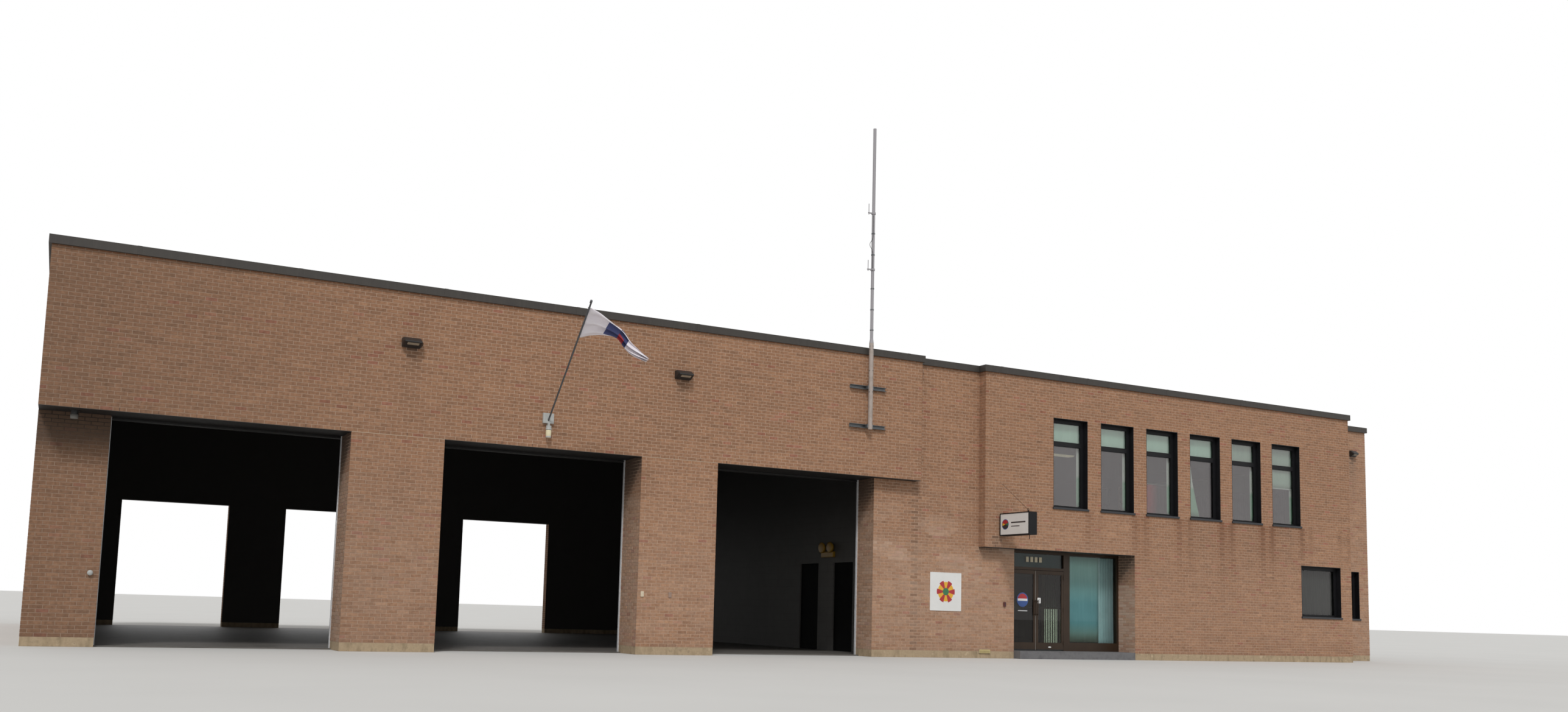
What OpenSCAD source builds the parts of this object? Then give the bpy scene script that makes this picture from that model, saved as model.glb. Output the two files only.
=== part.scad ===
// Fire station: three drive-through truck bays under a brick band, and a
// two-storey office with a recessed entrance. Millimetres, +Z up, front to -Y.
// Plan places are given from the front left corner of the building and the
// base line of the walls. place() then puts the middle of the plan on the axis.

/* [Overall] */
// Depth from the front plane to the rear face
total_d = 19400; // [15000:100:24000]
// Thickness of the brick walls
wall_t = 300; // [240:10:360]
// Top of the concrete base course
base_h = 176; // [120:2:260]
// Open joint between the lengths of the base course
base_gap = 3; // [2:1:8]
// Top of the brickwork, under the coping
parapet_z = 7560; // [7400:10:8200]

/* [Truck bays] */
// Width of the left pier
left_pier_w = 1254; // [900:2:1600]
// Width of the first bay
first_bay_w = 4446; // [4000:2:4700]
// Width of the second and third bay
bay_w = 4560; // [4000:2:4700]
// Width of the two middle piers
pier_w = 1938; // [1500:2:2300]
// Width of the right pier, up to the end of the brick band
right_pier_w = 1254; // [1000:2:1600]
// Depth of the bay reveals, from the front plane to the door plane
reveal_d = 1030; // [900:10:1300]
// Setback of the left pier behind the band
left_setback = 722; // [500:2:850]
// Underside of the brick band over the bays
band_z = 4470; // [4000:10:4900]
// Drop of the dark header under the band
header_drop = 40; // [10:5:80]
// Thickness of the header wall over the door plane
header_t = 200; // [120:10:300]
// Left edge of the first rear doorway
rear_first_x = 2230; // [1800:10:2600]
// Left edge of the second rear doorway
rear_second_x = 7330; // [6800:10:8000]
// Left edge of the third rear doorway
rear_third_x = 13500; // [12000:10:14000]
// Width of the rear doorways
rear_door_w = 3280; // [3000:10:3600]
// Head of the rear doorways
rear_head_z = 4070; // [3600:10:4400]
// Thickness of the bay floor
bay_floor_t = 24; // [12:2:60]
// Front edge of the bay floor, from the front plane
sill_y = 850; // [730:10:900]
// Width of the white door tracks on the jambs
track_w = 22; // [14:2:40]
// Depth of the door tracks
track_d = 60; // [40:5:100]
// Thickness of the dark soffit panels
soffit_t = 30; // [20:5:60]

/* [Inner wall] */
// Thickness of the wall between bays and office
inner_t = 200; // [150:10:300]
// Distance of the first inner doorway from the front plane
inner_door_y = 2800; // [2200:20:4200]
// Width of the inner doorways
inner_door_w = 990; // [800:10:1200]
// Distance between the two inner doorways
inner_door_pitch = 1790; // [1500:10:2600]
// Head of the inner doorways
inner_door_z = 2450; // [2100:10:2700]
// Thickness of the inner door leaves
inner_leaf_t = 50; // [40:5:80]

/* [Office] */
// Length of the recessed wall between band and office
recess_w = 2052; // [1600:2:2500]
// Setback of the right pier and the recessed wall
recess_y = 260; // [120:5:290]
// Length of the office front
office_w = 14250; // [14000:2:14400]
// Length of the far right wall, up to the right corner
far_w = 2736; // [2600:4:3000]
// Setback of the far right wall
far_y = 1440; // [900:5:2500]
// Underside of the overhang over the entrance
overhang_z = 2888; // [2700:4:3100]
// Top of the office floor
floor_z = 200; // [180:5:280]
// Thickness of the upper floor
upper_floor_t = 300; // [200:10:400]
// Underside of the roofs
roof_z = 6900; // [6700:10:7000]
// Thickness of the roofs
roof_t = 200; // [150:10:300]

/* [Coping] */
// Height of the coping above the brickwork
coping_h = 134; // [80:2:200]
// Drop of its outer lip over the brick face
coping_lip = 36; // [20:2:80]
// Overhang outside the wall
coping_out = 58; // [30:2:100]
// Overhang inside the wall
coping_in = 30; // [10:2:80]
// Open joint between the coping lengths
coping_gap = 3; // [2:1:6]

/* [Windows] */
// Width of an upper window
win_w = 1218; // [900:2:1400]
// Distance between neighbouring upper windows
win_pitch = 1698; // [1520:2:1900]
// Sill of the upper windows
win_sill_z = 4018; // [3700:2:4300]
// Head of the upper windows
win_head_z = 6504; // [6200:2:6800]
// Left edge of the first window, from the left end of the office front
win_first = 2308; // [1800:2:2800]
// Setback of the sash behind the wall face
sash_y = 150; // [100:5:220]
// Depth of the sash
sash_d = 60; // [40:5:80]
// Width of the sash members
sash_w = 110; // [60:2:150]
// Thickness of the metal lining of the reveal
lining_t = 14; // [6:1:30]
// Underside of the transom bar, above the sill
transom_rise = 1747; // [1400:1:1900]
// Height of the transom bar
transom_h = 115; // [60:5:140]
// Thickness of the glass
glass_t = 24; // [12:2:36]
// Projection of the sill before the wall
sill_out = 36; // [20:2:60]
// Height of the sill edge
sill_h = 50; // [30:2:80]
// Width of a ground floor window
low_win_w = 1768; // [1400:2:2000]
// Right edge of the front ground floor window, from the right end of the front
low_win_end = 485; // [400:5:900]
// Sill of the ground floor windows
low_sill_z = 1306; // [1000:2:1600]
// Width of the slit window in the far right wall
slit_w = 456; // [300:4:900]
// Distance of the slit window from the right corner
slit_end = 438; // [380:2:700]
// First window on the right side, from the front plane
side_win_y = 4400; // [3200:20:5200]
// Windows on the right side and on the rear
side_win_count = 6; // [4:1:6]

/* [Entrance] */
// Left edge of the entrance, from the left end of the office front
ent_left = 1188; // [1000:2:1400]
// Right edge of the entrance, from the left end of the office front
ent_right = 5244; // [5000:2:5400]
// Setback of the entrance frame
ent_y = 630; // [500:5:750]
// Depth of the entrance frame
ent_frame_d = 120; // [80:5:160]
// Width of the left jamb
ent_jamb_w = 93; // [60:1:120]
// Width of one door leaf with its gap
leaf_w = 975; // [850:1:1050]
// Width of the post between doors and window
ent_post_w = 219; // [120:1:260]
// Width of the right jamb
ent_end_w = 57; // [40:1:90]
// Underside of the bar over the doors
door_head_z = 2375; // [2250:5:2450]
// Height of the bar over the doors
door_bar_h = 75; // [50:5:120]
// Height of the head over the transom lights
ent_head_h = 70; // [40:5:100]
// Height of the panel under the big window
ent_sill_h = 233; // [120:1:300]
// Running gap around the door leaves
door_gap = 10; // [8:1:14]
// Thickness of the door leaves
leaf_t = 45; // [38:1:60]
// Width of the door stiles
stile_w = 70; // [50:2:110]
// Height of the top rail
top_rail_h = 90; // [60:2:130]
// Height of the bottom rail
kick_rail_h = 200; // [120:5:260]
// Radius of the hinge knuckles
knuckle_r = 8; // [6:1:10]
// Height of one hinge knuckle
knuckle_h = 40; // [30:2:60]
// Height of the pull handle
pull_h = 420; // [250:10:600]
// Height of the push bar above the floor
bar_rise = 1154; // [900:2:1300]

/* [Fittings] */
// Width of the plaque
plaque_w = 985; // [700:5:1100]
// Height of the plaque
plaque_h = 980; // [700:5:1100]
// Thickness of the plaque
plaque_t = 12; // [6:1:30]
// Lower edge of the plaque
plaque_z = 1195; // [900:5:1400]
// Left edge of the plaque, from the end of the brick band
plaque_x = 505; // [200:5:800]
// Thickness of the projecting sign
sign_t = 250; // [150:5:300]
// Length of the sign
sign_l = 1140; // [900:10:1400]
// Height of the sign
sign_h = 580; // [400:10:700]
// Lower edge of the sign
sign_z = 3190; // [3100:5:3400]
// Left face of the sign, from the left end of the office front
sign_x = 448; // [300:2:700]
// Gap between the wall and the sign
sign_gap = 60; // [30:5:100]
// Width of the wall lamps
lamp_w = 440; // [300:5:500]
// Height of the wall lamps
lamp_h = 216; // [160:4:280]
// Projection of the wall lamps
lamp_d = 250; // [150:5:300]
// Lower edge of the wall lamps
lamp_z = 6330; // [6000:5:6600]

/* [Flag] */
// Middle of the flag bracket, from the left corner
flag_x = 9905; // [9000:5:11000]
// Underside of the bracket box
flag_plate_z = 5016; // [4800:4:5200]
// Width of the bracket box
flag_plate_w = 245; // [160:5:300]
// Height of the bracket box
flag_plate_h = 224; // [160:4:300]
// Depth of the bracket box
flag_plate_d = 60; // [40:5:120]
// Length of the flag pole
pole_l = 3220; // [2600:10:3600]
// Lean of the pole out of the vertical
pole_lean = 47; // [30:1:55]
// Radius of the pole
pole_r = 19; // [14:1:26]
// Length of the flag along the pole
flag_hoist = 785; // [500:5:1000]
// Bare length of the pole above the flag
flag_tip = 180; // [60:10:400]
// Length of the flag away from the pole
flag_fly = 1500; // [1000:10:1700]
// Thickness of the soft flag body
flag_t = 60; // [30:5:120]

/* [Mast] */
// Place of the mast, from the left corner
mast_x = 18275; // [17400:5:18800]
// Foot of the mast
mast_foot_z = 5620; // [5400:5:5690]
// Top of the lower tube
mast_joint_z = 7798; // [7700:2:8200]
// Top of the mast
mast_top_z = 13360; // [11000:4:14000]
// Radius of the lower tube
mast_r = 57; // [40:1:70]
// Radius of the upper tube
mast_upper_r = 40; // [25:1:50]
// Height of the aerial rods
aerial_h = 280; // [150:10:400]
// Length of the cross channels
channel_l = 1053; // [700:1:1300]
// Height of the cross channels
channel_h = 90; // [50:2:120]
// Depth of the cross channels
channel_d = 80; // [50:2:110]
// Middle of the lower channel
channel_low_z = 5703; // [5690:1:5900]
// Middle of the upper channel
channel_high_z = 6678; // [6400:2:7000]

/* [Hidden] */
$fn = 48;

// Colours
BRICK = [0.55, 0.42, 0.35];
CONCRETE = [0.72, 0.68, 0.60];
DARK = [0.13, 0.12, 0.12];
BROWN = [0.25, 0.19, 0.16];
GREY = [0.55, 0.55, 0.56];
PALE = [0.93, 0.93, 0.92];
GLASS = [0.55, 0.68, 0.68, 0.5];

// Plan lines along the front
band_end = left_pier_w + first_bay_w + 2 * bay_w + 2 * pier_w + right_pier_w;
office_x = band_end + recess_w;
office_end = office_x + office_w;
total_w = office_end + far_w;
ent_x0 = office_x + ent_left;
ent_x1 = office_x + ent_right;
bay_x = [left_pier_w, left_pier_w + first_bay_w + pier_w,
    left_pier_w + first_bay_w + bay_w + 2 * pier_w];
bay_widths = [first_bay_w, bay_w, bay_w];
rear_doors = [rear_first_x, rear_second_x, rear_third_x];
rear_pier_x = [0, rear_first_x + rear_door_w, rear_second_x + rear_door_w,
    rear_third_x + rear_door_w];
rear_pier_end = [rear_first_x, rear_second_x, rear_third_x, band_end];
inner_x = band_end - inner_t;
rear_y = total_d - wall_t;
side_x = total_w - wall_t;
ent_back = ent_y + ent_frame_d;
roof_top = roof_z + roof_t;
slab_z = overhang_z + soffit_t;

// Doors
door_x0 = ent_x0 + ent_jamb_w;
door_mid = door_x0 + leaf_w;
door_x1 = door_mid + leaf_w;
door_z0 = floor_z + door_gap;
door_z1 = door_head_z - door_gap;
hinge_gap = door_gap / 2;
hinge_y = ent_y - knuckle_r;
hinge_rises = [190, 1080, 1970];

// Mast and flag
mast_y = -channel_d - 70;
pole_foot = [flag_x, -flag_plate_d, flag_plate_z + 71];
aerial_shares = [0.334, 0.596];

// Puts the middle of the plan on the axis
module place() {
    translate([-total_w / 2, -total_d / 2, 0])
        children();
}

// A block between two corners
module block(a, b) {
    translate(a)
        cube(b - a);
}

// A round bar between two points
module bar(a, b, r) {
    d = b - a;
    l = norm(d);
    translate(a)
        rotate([0, acos(d[2] / l), atan2(d[1], d[0])])
            cylinder(h = l, r = r);
}

// Outline of the outer wall faces
function outline() = [[0, 0], [band_end, 0], [band_end, recess_y], [office_x, recess_y],
    [office_x, 0], [office_end, 0], [office_end, far_y], [total_w, far_y],
    [total_w, total_d], [0, total_d]];

// Outline of the office rooms, inside the walls
function room_outline() = [[band_end, recess_y + wall_t], [office_x + wall_t, recess_y + wall_t],
    [office_x + wall_t, wall_t], [office_end - wall_t, wall_t],
    [office_end - wall_t, far_y + wall_t], [side_x, far_y + wall_t], [side_x, rear_y],
    [band_end, rear_y]];

// Windows as [left edge, sill, width, height, rise of the transom]
function upper_windows(first, count) = [for (i = [0:count - 1])
    [first + i * win_pitch, win_sill_z, win_w, win_head_z - win_sill_z, transom_rise]];
function low_window(x, w) = [x, low_sill_z, w, overhang_z - low_sill_z, 0];

front_upper = upper_windows(office_x + win_first, 6);
front_low = [low_window(office_end - low_win_end - low_win_w, low_win_w)];
far_low = [low_window(total_w - slit_end - slit_w, slit_w)];
side_all = concat(upper_windows(side_win_y, side_win_count),
    [for (i = [0:2]) low_window(side_win_y + 2 * i * win_pitch, low_win_w)]);
rear_first = total_w - band_end - win_first - 5 * win_pitch - win_w;
rear_all = concat(upper_windows(rear_first, side_win_count),
    [for (i = [0:2]) low_window(rear_first + 2 * i * win_pitch, low_win_w)]);

// Holes for a list of windows in a wall whose face lies in the plane y = 0
module window_holes(list) {
    for (w = list)
        translate([w[0], -1, w[1]])
            cube([w[2], wall_t + 2, w[3]]);
}

// Frame of one window: lined reveal, sash, transom bar and sill
module window_frame(w) {
    wide = w[2];
    high = w[3];
    translate([w[0], 0, w[1]]) {
        difference() {
            cube([wide, sash_y + sash_d, high]);
            translate([lining_t, -1, sill_h])
                cube([wide - 2 * lining_t, sash_y + 1, high - sill_h - lining_t]);
            translate([sash_w, 0, sill_h + sash_w / 2])
                cube([wide - 2 * sash_w, wall_t, high - sill_h - 1.5 * sash_w]);
        }
        if (w[4] > 0)
            translate([sash_w, sash_y, w[4]])
                cube([wide - 2 * sash_w, sash_d, transom_h]);
        translate([-sill_h / 2, -sill_out, 0])
            cube([wide + sill_h, sill_out, sill_h]);
    }
}

// Panes of one window
module window_panes(w) {
    wide = w[2] - 2 * sash_w;
    low = sill_h + sash_w / 2;
    top = w[3] - sash_w;
    split = w[4] > 0 ? [[low, w[4]], [w[4] + transom_h, top]] : [[low, top]];
    for (s = split)
        translate([w[0] + sash_w, sash_y + (sash_d - glass_t) / 2, w[1] + s[0]])
            cube([wide, glass_t, s[1] - s[0]]);
}

// Carries a wall drawn in the plane y = 0 to the right side and to the rear
module on_right_side() {
    translate([total_w, 0, 0])
        rotate([0, 0, 90])
            children();
}

module on_rear() {
    translate([total_w, total_d, 0])
        rotate([0, 0, 180])
            children();
}

module left_pier() {
    color(BRICK)
        block([0, left_setback, base_h], [left_pier_w, reveal_d, band_z]);
}

// A middle pier that starts at x
module middle_pier(x) {
    color(BRICK)
        block([x, 0, base_h], [x + pier_w, reveal_d, band_z]);
}

module right_pier() {
    color(BRICK)
        block([band_end - right_pier_w, recess_y, base_h], [band_end, reveal_d, band_z]);
}

module plaque_wall() {
    color(BRICK)
        block([band_end, recess_y, base_h], [ent_x0, ent_back, overhang_z]);
}

module recess_wall() {
    color(BRICK)
        block([band_end, recess_y, overhang_z], [office_x, recess_y + wall_t, parapet_z]);
}

module upper_front() {
    color(BRICK)
        block([0, 0, band_z], [band_end, wall_t, parapet_z]);
}

module wall_returns() {
    color(BRICK) {
        block([0, wall_t, band_z], [wall_t, reveal_d, parapet_z]);
        block([inner_x, wall_t, band_z], [band_end, reveal_d, parapet_z]);
        block([office_x, wall_t, slab_z], [office_x + wall_t, recess_y + wall_t, parapet_z]);
        block([ent_x1, wall_t, base_h], [ent_x1 + wall_t, ent_back, overhang_z]);
        block([office_end - wall_t, wall_t, base_h], [office_end, far_y, parapet_z]);
    }
}

module left_side_wall() {
    color(BRICK)
        block([0, reveal_d, base_h], [wall_t, rear_y, parapet_z]);
}

module rear_piers() {
    color(BRICK)
        for (i = [0:3])
            block([rear_pier_x[i], rear_y, base_h], [rear_pier_end[i], total_d, rear_head_z]);
}

module rear_header() {
    color(BRICK)
        block([0, rear_y, rear_head_z], [band_end, total_d, parapet_z]);
}

module rear_office_wall() {
    color(BRICK)
        on_rear()
            difference() {
                block([0, 0, base_h], [total_w - band_end, wall_t, parapet_z]);
                window_holes(rear_all);
            }
}

module right_side_wall() {
    color(BRICK)
        on_right_side()
            difference() {
                block([far_y + wall_t, 0, base_h], [rear_y, wall_t, parapet_z]);
                window_holes(side_all);
            }
}

module far_right_wall() {
    color(BRICK)
        difference() {
            block([office_end - wall_t, far_y, base_h], [total_w, far_y + wall_t, parapet_z]);
            translate([0, far_y, 0])
                window_holes(far_low);
        }
}

module office_front_upper() {
    color(BRICK)
        difference() {
            block([office_x, 0, overhang_z], [office_end, wall_t, parapet_z]);
            window_holes(front_upper);
        }
}

module office_front_lower() {
    color(BRICK)
        difference() {
            block([ent_x1, 0, base_h], [office_end, wall_t, overhang_z]);
            window_holes(front_low);
        }
}

module bay_header() {
    color(DARK)
        block([wall_t, reveal_d, band_z - header_drop], [inner_x, reveal_d + header_t, roof_z]);
}

module soffits() {
    color(DARK) {
        block([wall_t, wall_t, band_z], [inner_x, reveal_d, band_z + soffit_t]);
        block([office_x, wall_t, overhang_z], [ent_x1 + wall_t, ent_back, slab_z]);
    }
}

module inner_wall() {
    color(GREY)
        difference() {
            block([inner_x, reveal_d, bay_floor_t], [band_end, rear_y, roof_top]);
            for (i = [0:1])
                block([inner_x - 1, inner_door_y + i * inner_door_pitch, 0],
                    [band_end + 1, inner_door_y + i * inner_door_pitch + inner_door_w, inner_door_z]);
        }
}

module inner_doors() {
    color(DARK)
        for (i = [0:1])
            block([inner_x + 40, inner_door_y + i * inner_door_pitch, bay_floor_t],
                [inner_x + 40 + inner_leaf_t, inner_door_y + i * inner_door_pitch + inner_door_w,
                inner_door_z]);
}

module bay_floor() {
    color(CONCRETE) {
        block([wall_t, reveal_d, 0], [band_end, rear_y, bay_floor_t]);
        for (i = [0:2]) {
            block([bay_x[i], sill_y, 0], [bay_x[i] + bay_widths[i], reveal_d, bay_floor_t]);
            block([rear_doors[i], rear_y, 0], [rear_doors[i] + rear_door_w, total_d, bay_floor_t]);
        }
    }
}

module office_floor() {
    color(CONCRETE)
        linear_extrude(floor_z)
            polygon([[band_end, ent_back], [ent_x0, ent_back], [ent_x0, 0], [ent_x1, 0],
                [ent_x1, ent_back], [ent_x1 + wall_t, ent_back], [ent_x1 + wall_t, wall_t],
                [office_end - wall_t, wall_t], [office_end - wall_t, far_y + wall_t],
                [side_x, far_y + wall_t], [side_x, rear_y], [band_end, rear_y]]);
}

module office_upper_floor() {
    color(CONCRETE)
        translate([0, 0, slab_z])
            linear_extrude(upper_floor_t)
                polygon(room_outline());
}

module roofs() {
    color(GREY) {
        block([wall_t, wall_t, roof_z], [inner_x, rear_y, roof_top]);
        translate([0, 0, roof_z])
            linear_extrude(roof_t)
                polygon(room_outline());
    }
}

// Concrete base under every wall and pier, in lengths with open joints
module base_course() {
    g = base_gap;
    color(CONCRETE) {
        block([0, left_setback, 0], [left_pier_w, reveal_d, base_h]);
        for (i = [1:2])
            block([bay_x[i] - pier_w, 0, 0], [bay_x[i], reveal_d, base_h]);
        block([band_end - right_pier_w, recess_y, 0], [band_end - g, reveal_d, base_h]);
        block([band_end, recess_y, 0], [ent_x0, ent_back, base_h]);
        block([0, reveal_d + g, 0], [wall_t, rear_y - g, base_h]);
        for (i = [0:2])
            block([rear_pier_x[i], rear_y, 0], [rear_pier_end[i], total_d, base_h]);
        block([rear_pier_x[3], rear_y, 0], [total_w, total_d, base_h]);
        block([ent_x1, 0, 0], [office_end, wall_t, base_h]);
        block([ent_x1, wall_t + g, 0], [ent_x1 + wall_t, ent_back, base_h]);
        block([office_end - wall_t, wall_t + g, 0], [office_end, far_y - g, base_h]);
        block([office_end - wall_t, far_y, 0], [total_w, far_y + wall_t, base_h]);
        block([side_x, far_y + wall_t + g, 0], [total_w, rear_y - g, base_h]);
    }
}

// One straight length of coping over the wall strip between a and b
module coping_length(a, b) {
    z0 = parapet_z - coping_lip;
    difference() {
        block([a[0], a[1], z0], [b[0], b[1], parapet_z + coping_h]);
        translate([0, 0, z0 - 1])
            linear_extrude(coping_lip + 1)
                polygon(outline());
    }
}

module coping() {
    o = coping_out;
    g = coping_gap;
    t = wall_t + coping_in;
    color(DARK) {
        coping_length([-o, -o], [band_end + o, t]);
        coping_length([band_end + o + g, recess_y - o], [office_x - o - g, recess_y + t]);
        coping_length([office_x - o, -o], [office_end + o, t]);
        coping_length([office_end - t, t + g], [office_end + o, far_y - o - g]);
        coping_length([office_end - t, far_y - o], [total_w + o, far_y + t]);
        coping_length([total_w - t, far_y + t + g], [total_w + o, total_d - t - g]);
        coping_length([-o, total_d - t], [total_w + o, total_d + o]);
        coping_length([-o, t + g], [t, total_d - t - g]);
    }
}

module door_tracks() {
    color(PALE)
        for (i = [0:2])
            for (x = [bay_x[i], bay_x[i] + bay_widths[i] - track_w])
                block([x, reveal_d - track_d, bay_floor_t], [x + track_w, reveal_d, band_z]);
}

module window_frames() {
    color(DARK) {
        for (w = concat(front_upper, front_low))
            window_frame(w);
        translate([0, far_y, 0])
            for (w = far_low)
                window_frame(w);
        on_right_side()
            for (w = side_all)
                window_frame(w);
        on_rear()
            for (w = rear_all)
                window_frame(w);
    }
}

module window_glass() {
    color(GLASS) {
        for (w = concat(front_upper, front_low))
            window_panes(w);
        translate([0, far_y, 0])
            for (w = far_low)
                window_panes(w);
        on_right_side()
            for (w = side_all)
                window_panes(w);
        on_rear()
            for (w = rear_all)
                window_panes(w);
    }
}

// One hinge knuckle with its plate; side is 1 for the leaf and -1 for the frame
module knuckle(x, z, side) {
    translate([x, hinge_y, z])
        cylinder(h = knuckle_h, r = knuckle_r);
    block([x + (side > 0 ? 0 : -35), ent_y - knuckle_r / 2, z],
        [x + (side > 0 ? 35 : 0), ent_y, z + knuckle_h]);
}

// Knuckles of the frame above and below each leaf knuckle
module frame_knuckles(x, dir) {
    for (rise = hinge_rises)
        for (s = [-1, 1])
            difference() {
                knuckle(x, door_z0 + rise + s * (knuckle_h + 0.5), -dir);
                block([x - (dir > 0 ? 0 : 40), ent_y - 0.5, 0],
                    [x + (dir > 0 ? 40 : 0), ent_y + 1, parapet_z]);
            }
}

module entrance_frame() {
    post_x0 = door_x1;
    post_x1 = door_x1 + ent_post_w;
    end_x0 = ent_x1 - ent_end_w;
    color(BROWN) {
        block([ent_x0, ent_y, floor_z], [door_x0, ent_back, overhang_z]);
        block([post_x0, ent_y, floor_z], [post_x1, ent_back, overhang_z]);
        block([end_x0, ent_y, floor_z], [ent_x1, ent_back, overhang_z]);
        block([door_x0, ent_y, door_head_z], [post_x0, ent_back, door_head_z + door_bar_h]);
        block([door_x0, ent_y, overhang_z - ent_head_h], [end_x0, ent_back, overhang_z]);
        block([post_x1, ent_y, floor_z], [end_x0, ent_back, floor_z + ent_sill_h]);
        frame_knuckles(door_x0 + hinge_gap, 1);
        frame_knuckles(door_x1 - hinge_gap, -1);
    }
}

module entrance_glass() {
    y = ent_y + (ent_frame_d - glass_t) / 2;
    color(GLASS) {
        block([door_x0, y, door_head_z + door_bar_h], [door_x1, y + glass_t, overhang_z - ent_head_h]);
        block([door_x1 + ent_post_w, y, floor_z + ent_sill_h],
            [ent_x1 - ent_end_w, y + glass_t, overhang_z - ent_head_h]);
    }
}

// A door leaf between x0 and x1, hinged at x = hinge; dir points from the hinge into the leaf
module leaf(x0, x1, hinge, dir) {
    pull_x = dir > 0 ? x1 - stile_w / 2 : x0 + stile_w / 2;
    pull_z = floor_z + bar_rise - pull_h / 2;
    bar_z = floor_z + bar_rise;
    color(BROWN) {
        difference() {
            block([x0, ent_y, door_z0], [x1, ent_y + leaf_t, door_z1]);
            block([x0 + stile_w, ent_y - 1, door_z0 + kick_rail_h],
                [x1 - stile_w, ent_y + leaf_t + 1, door_z1 - top_rail_h]);
        }
        for (rise = hinge_rises)
            knuckle(hinge, door_z0 + rise, dir);
        block([pull_x - 10, ent_y - 50, pull_z], [pull_x + 10, ent_y - 38, pull_z + pull_h]);
        for (z = [pull_z + 20, pull_z + pull_h - 40])
            block([pull_x - 10, ent_y - 40, z], [pull_x + 10, ent_y, z + 20]);
        block([x0 + 40, ent_y + leaf_t + 25, bar_z - 18], [x1 - 40, ent_y + leaf_t + 45, bar_z + 18]);
        for (x = [x0 + 20, x1 - 50])
            block([x, ent_y + leaf_t, bar_z - 18], [x + 30, ent_y + leaf_t + 45, bar_z + 18]);
    }
}

module leaf_glass(x0, x1) {
    y = ent_y + (leaf_t - 12) / 2;
    color(GLASS)
        block([x0 + stile_w, y, door_z0 + kick_rail_h], [x1 - stile_w, y + 12, door_z1 - top_rail_h]);
}

module door_left() {
    leaf(door_x0 + hinge_gap + 1, door_mid - door_gap / 2, door_x0 + hinge_gap, 1);
}

module door_left_glass() {
    leaf_glass(door_x0 + hinge_gap + 1, door_mid - door_gap / 2);
}

module door_right() {
    leaf(door_mid + door_gap / 2, door_x1 - hinge_gap - 1, door_x1 - hinge_gap, -1);
}

module door_right_glass() {
    leaf_glass(door_mid + door_gap / 2, door_x1 - hinge_gap - 1);
}

module plaque() {
    x = band_end + plaque_x;
    color(PALE)
        block([x, recess_y - plaque_t, plaque_z], [x + plaque_w, recess_y, plaque_z + plaque_h]);
}

module sign_box() {
    x = office_x + sign_x;
    color(PALE)
        block([x, -sign_gap - sign_l, sign_z], [x + sign_t, -sign_gap, sign_z + sign_h]);
}

// Wall arms, eye bolt and stay of the sign
module sign_bracket() {
    x = office_x + sign_x + sign_t / 2;
    top = sign_z + sign_h;
    eye = [x, -sign_gap - sign_l + 180, top + 60];
    color(DARK) {
        for (z = [sign_z + 40, top - 70])
            block([x - 20, -sign_gap, z], [x + 20, 0, z + 30]);
        translate([eye[0], eye[1], top])
            cylinder(h = 64, r = 8);
        difference() {
            bar(eye, [x, 0, top + 790], 4);
            block([x - 20, 0, top], [x + 20, 40, top + 900]);
        }
    }
}

// One wall lamp with its middle at x
module wall_lamp(x, w, h, d) {
    translate([x - w / 2, 0, 0])
        rotate([90, 0, 90])
            linear_extrude(w)
                polygon([[0, 0], [0, h], [-0.3 * d, h], [-d, 0.6 * h], [-0.35 * d, 0]]);
}

module wall_lamps() {
    color(DARK) {
        for (x = [bay_x[1] - 802, bay_x[2] - 970])
            translate([0, 0, lamp_z])
                wall_lamp(x, lamp_w, lamp_h, lamp_d);
        translate([0, far_y, lamp_z + 335])
            wall_lamp(total_w - 640, 0.65 * lamp_w, lamp_h, 0.7 * lamp_d);
    }
}

module wall_fittings() {
    color(GREY) {
        translate([left_pier_w - 153, left_setback, 1407])
            rotate([90, 0, 0])
                cylinder(h = 40, r = 45);
        for (x = [116, 807])
            block([bay_x[2] - pier_w + x - 35, -14, 1298], [bay_x[2] - pier_w + x + 35, 0, 1413]);
        block([ent_x0 - 359, recess_y - 40, 1356], [ent_x0 - 299, recess_y, 1466]);
        block([office_x + 33, recess_y - 20, 131], [office_x + 380, recess_y, 217]);
        translate([610, 400, band_z - 120])
            cylinder(h = 120, r = 60);
    }
}

module flag_bracket() {
    z1 = flag_plate_z + flag_plate_h;
    color(PALE) {
        block([flag_x - flag_plate_w / 2, -flag_plate_d, flag_plate_z],
            [flag_x + flag_plate_w / 2, 0, z1]);
        translate([flag_x, -90, flag_plate_z - 320])
            cylinder(h = 260, r = 60);
        block([flag_x - 20, -110, flag_plate_z - 70], [flag_x + 20, 0, flag_plate_z]);
    }
}

// The pole, cut to the face of its bracket box
module flag_pole() {
    color(GREY)
        difference() {
            translate(pole_foot)
                rotate([pole_lean, 0, 0])
                    translate([0, 0, -2 * pole_r])
                        cylinder(h = pole_l + 2 * pole_r, r = pole_r);
            block([flag_x - 60, -flag_plate_d, flag_plate_z - 100], [flag_x + 60, 60, parapet_z]);
        }
}

// The flag as a soft slab beside the pole
module flag() {
    color(PALE)
        translate(pole_foot)
            rotate([pole_lean, 0, 0])
                translate([pole_r + 0.5, flag_t / 2, pole_l - flag_tip])
                    rotate([90, 0, 0])
                        linear_extrude(flag_t)
                            polygon([[0, 0], [0, -flag_hoist], [0.6 * flag_fly, -1.15 * flag_hoist],
                                [flag_fly, -1.9 * flag_hoist], [0.6 * flag_fly, -0.55 * flag_hoist]]);
}

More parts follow.
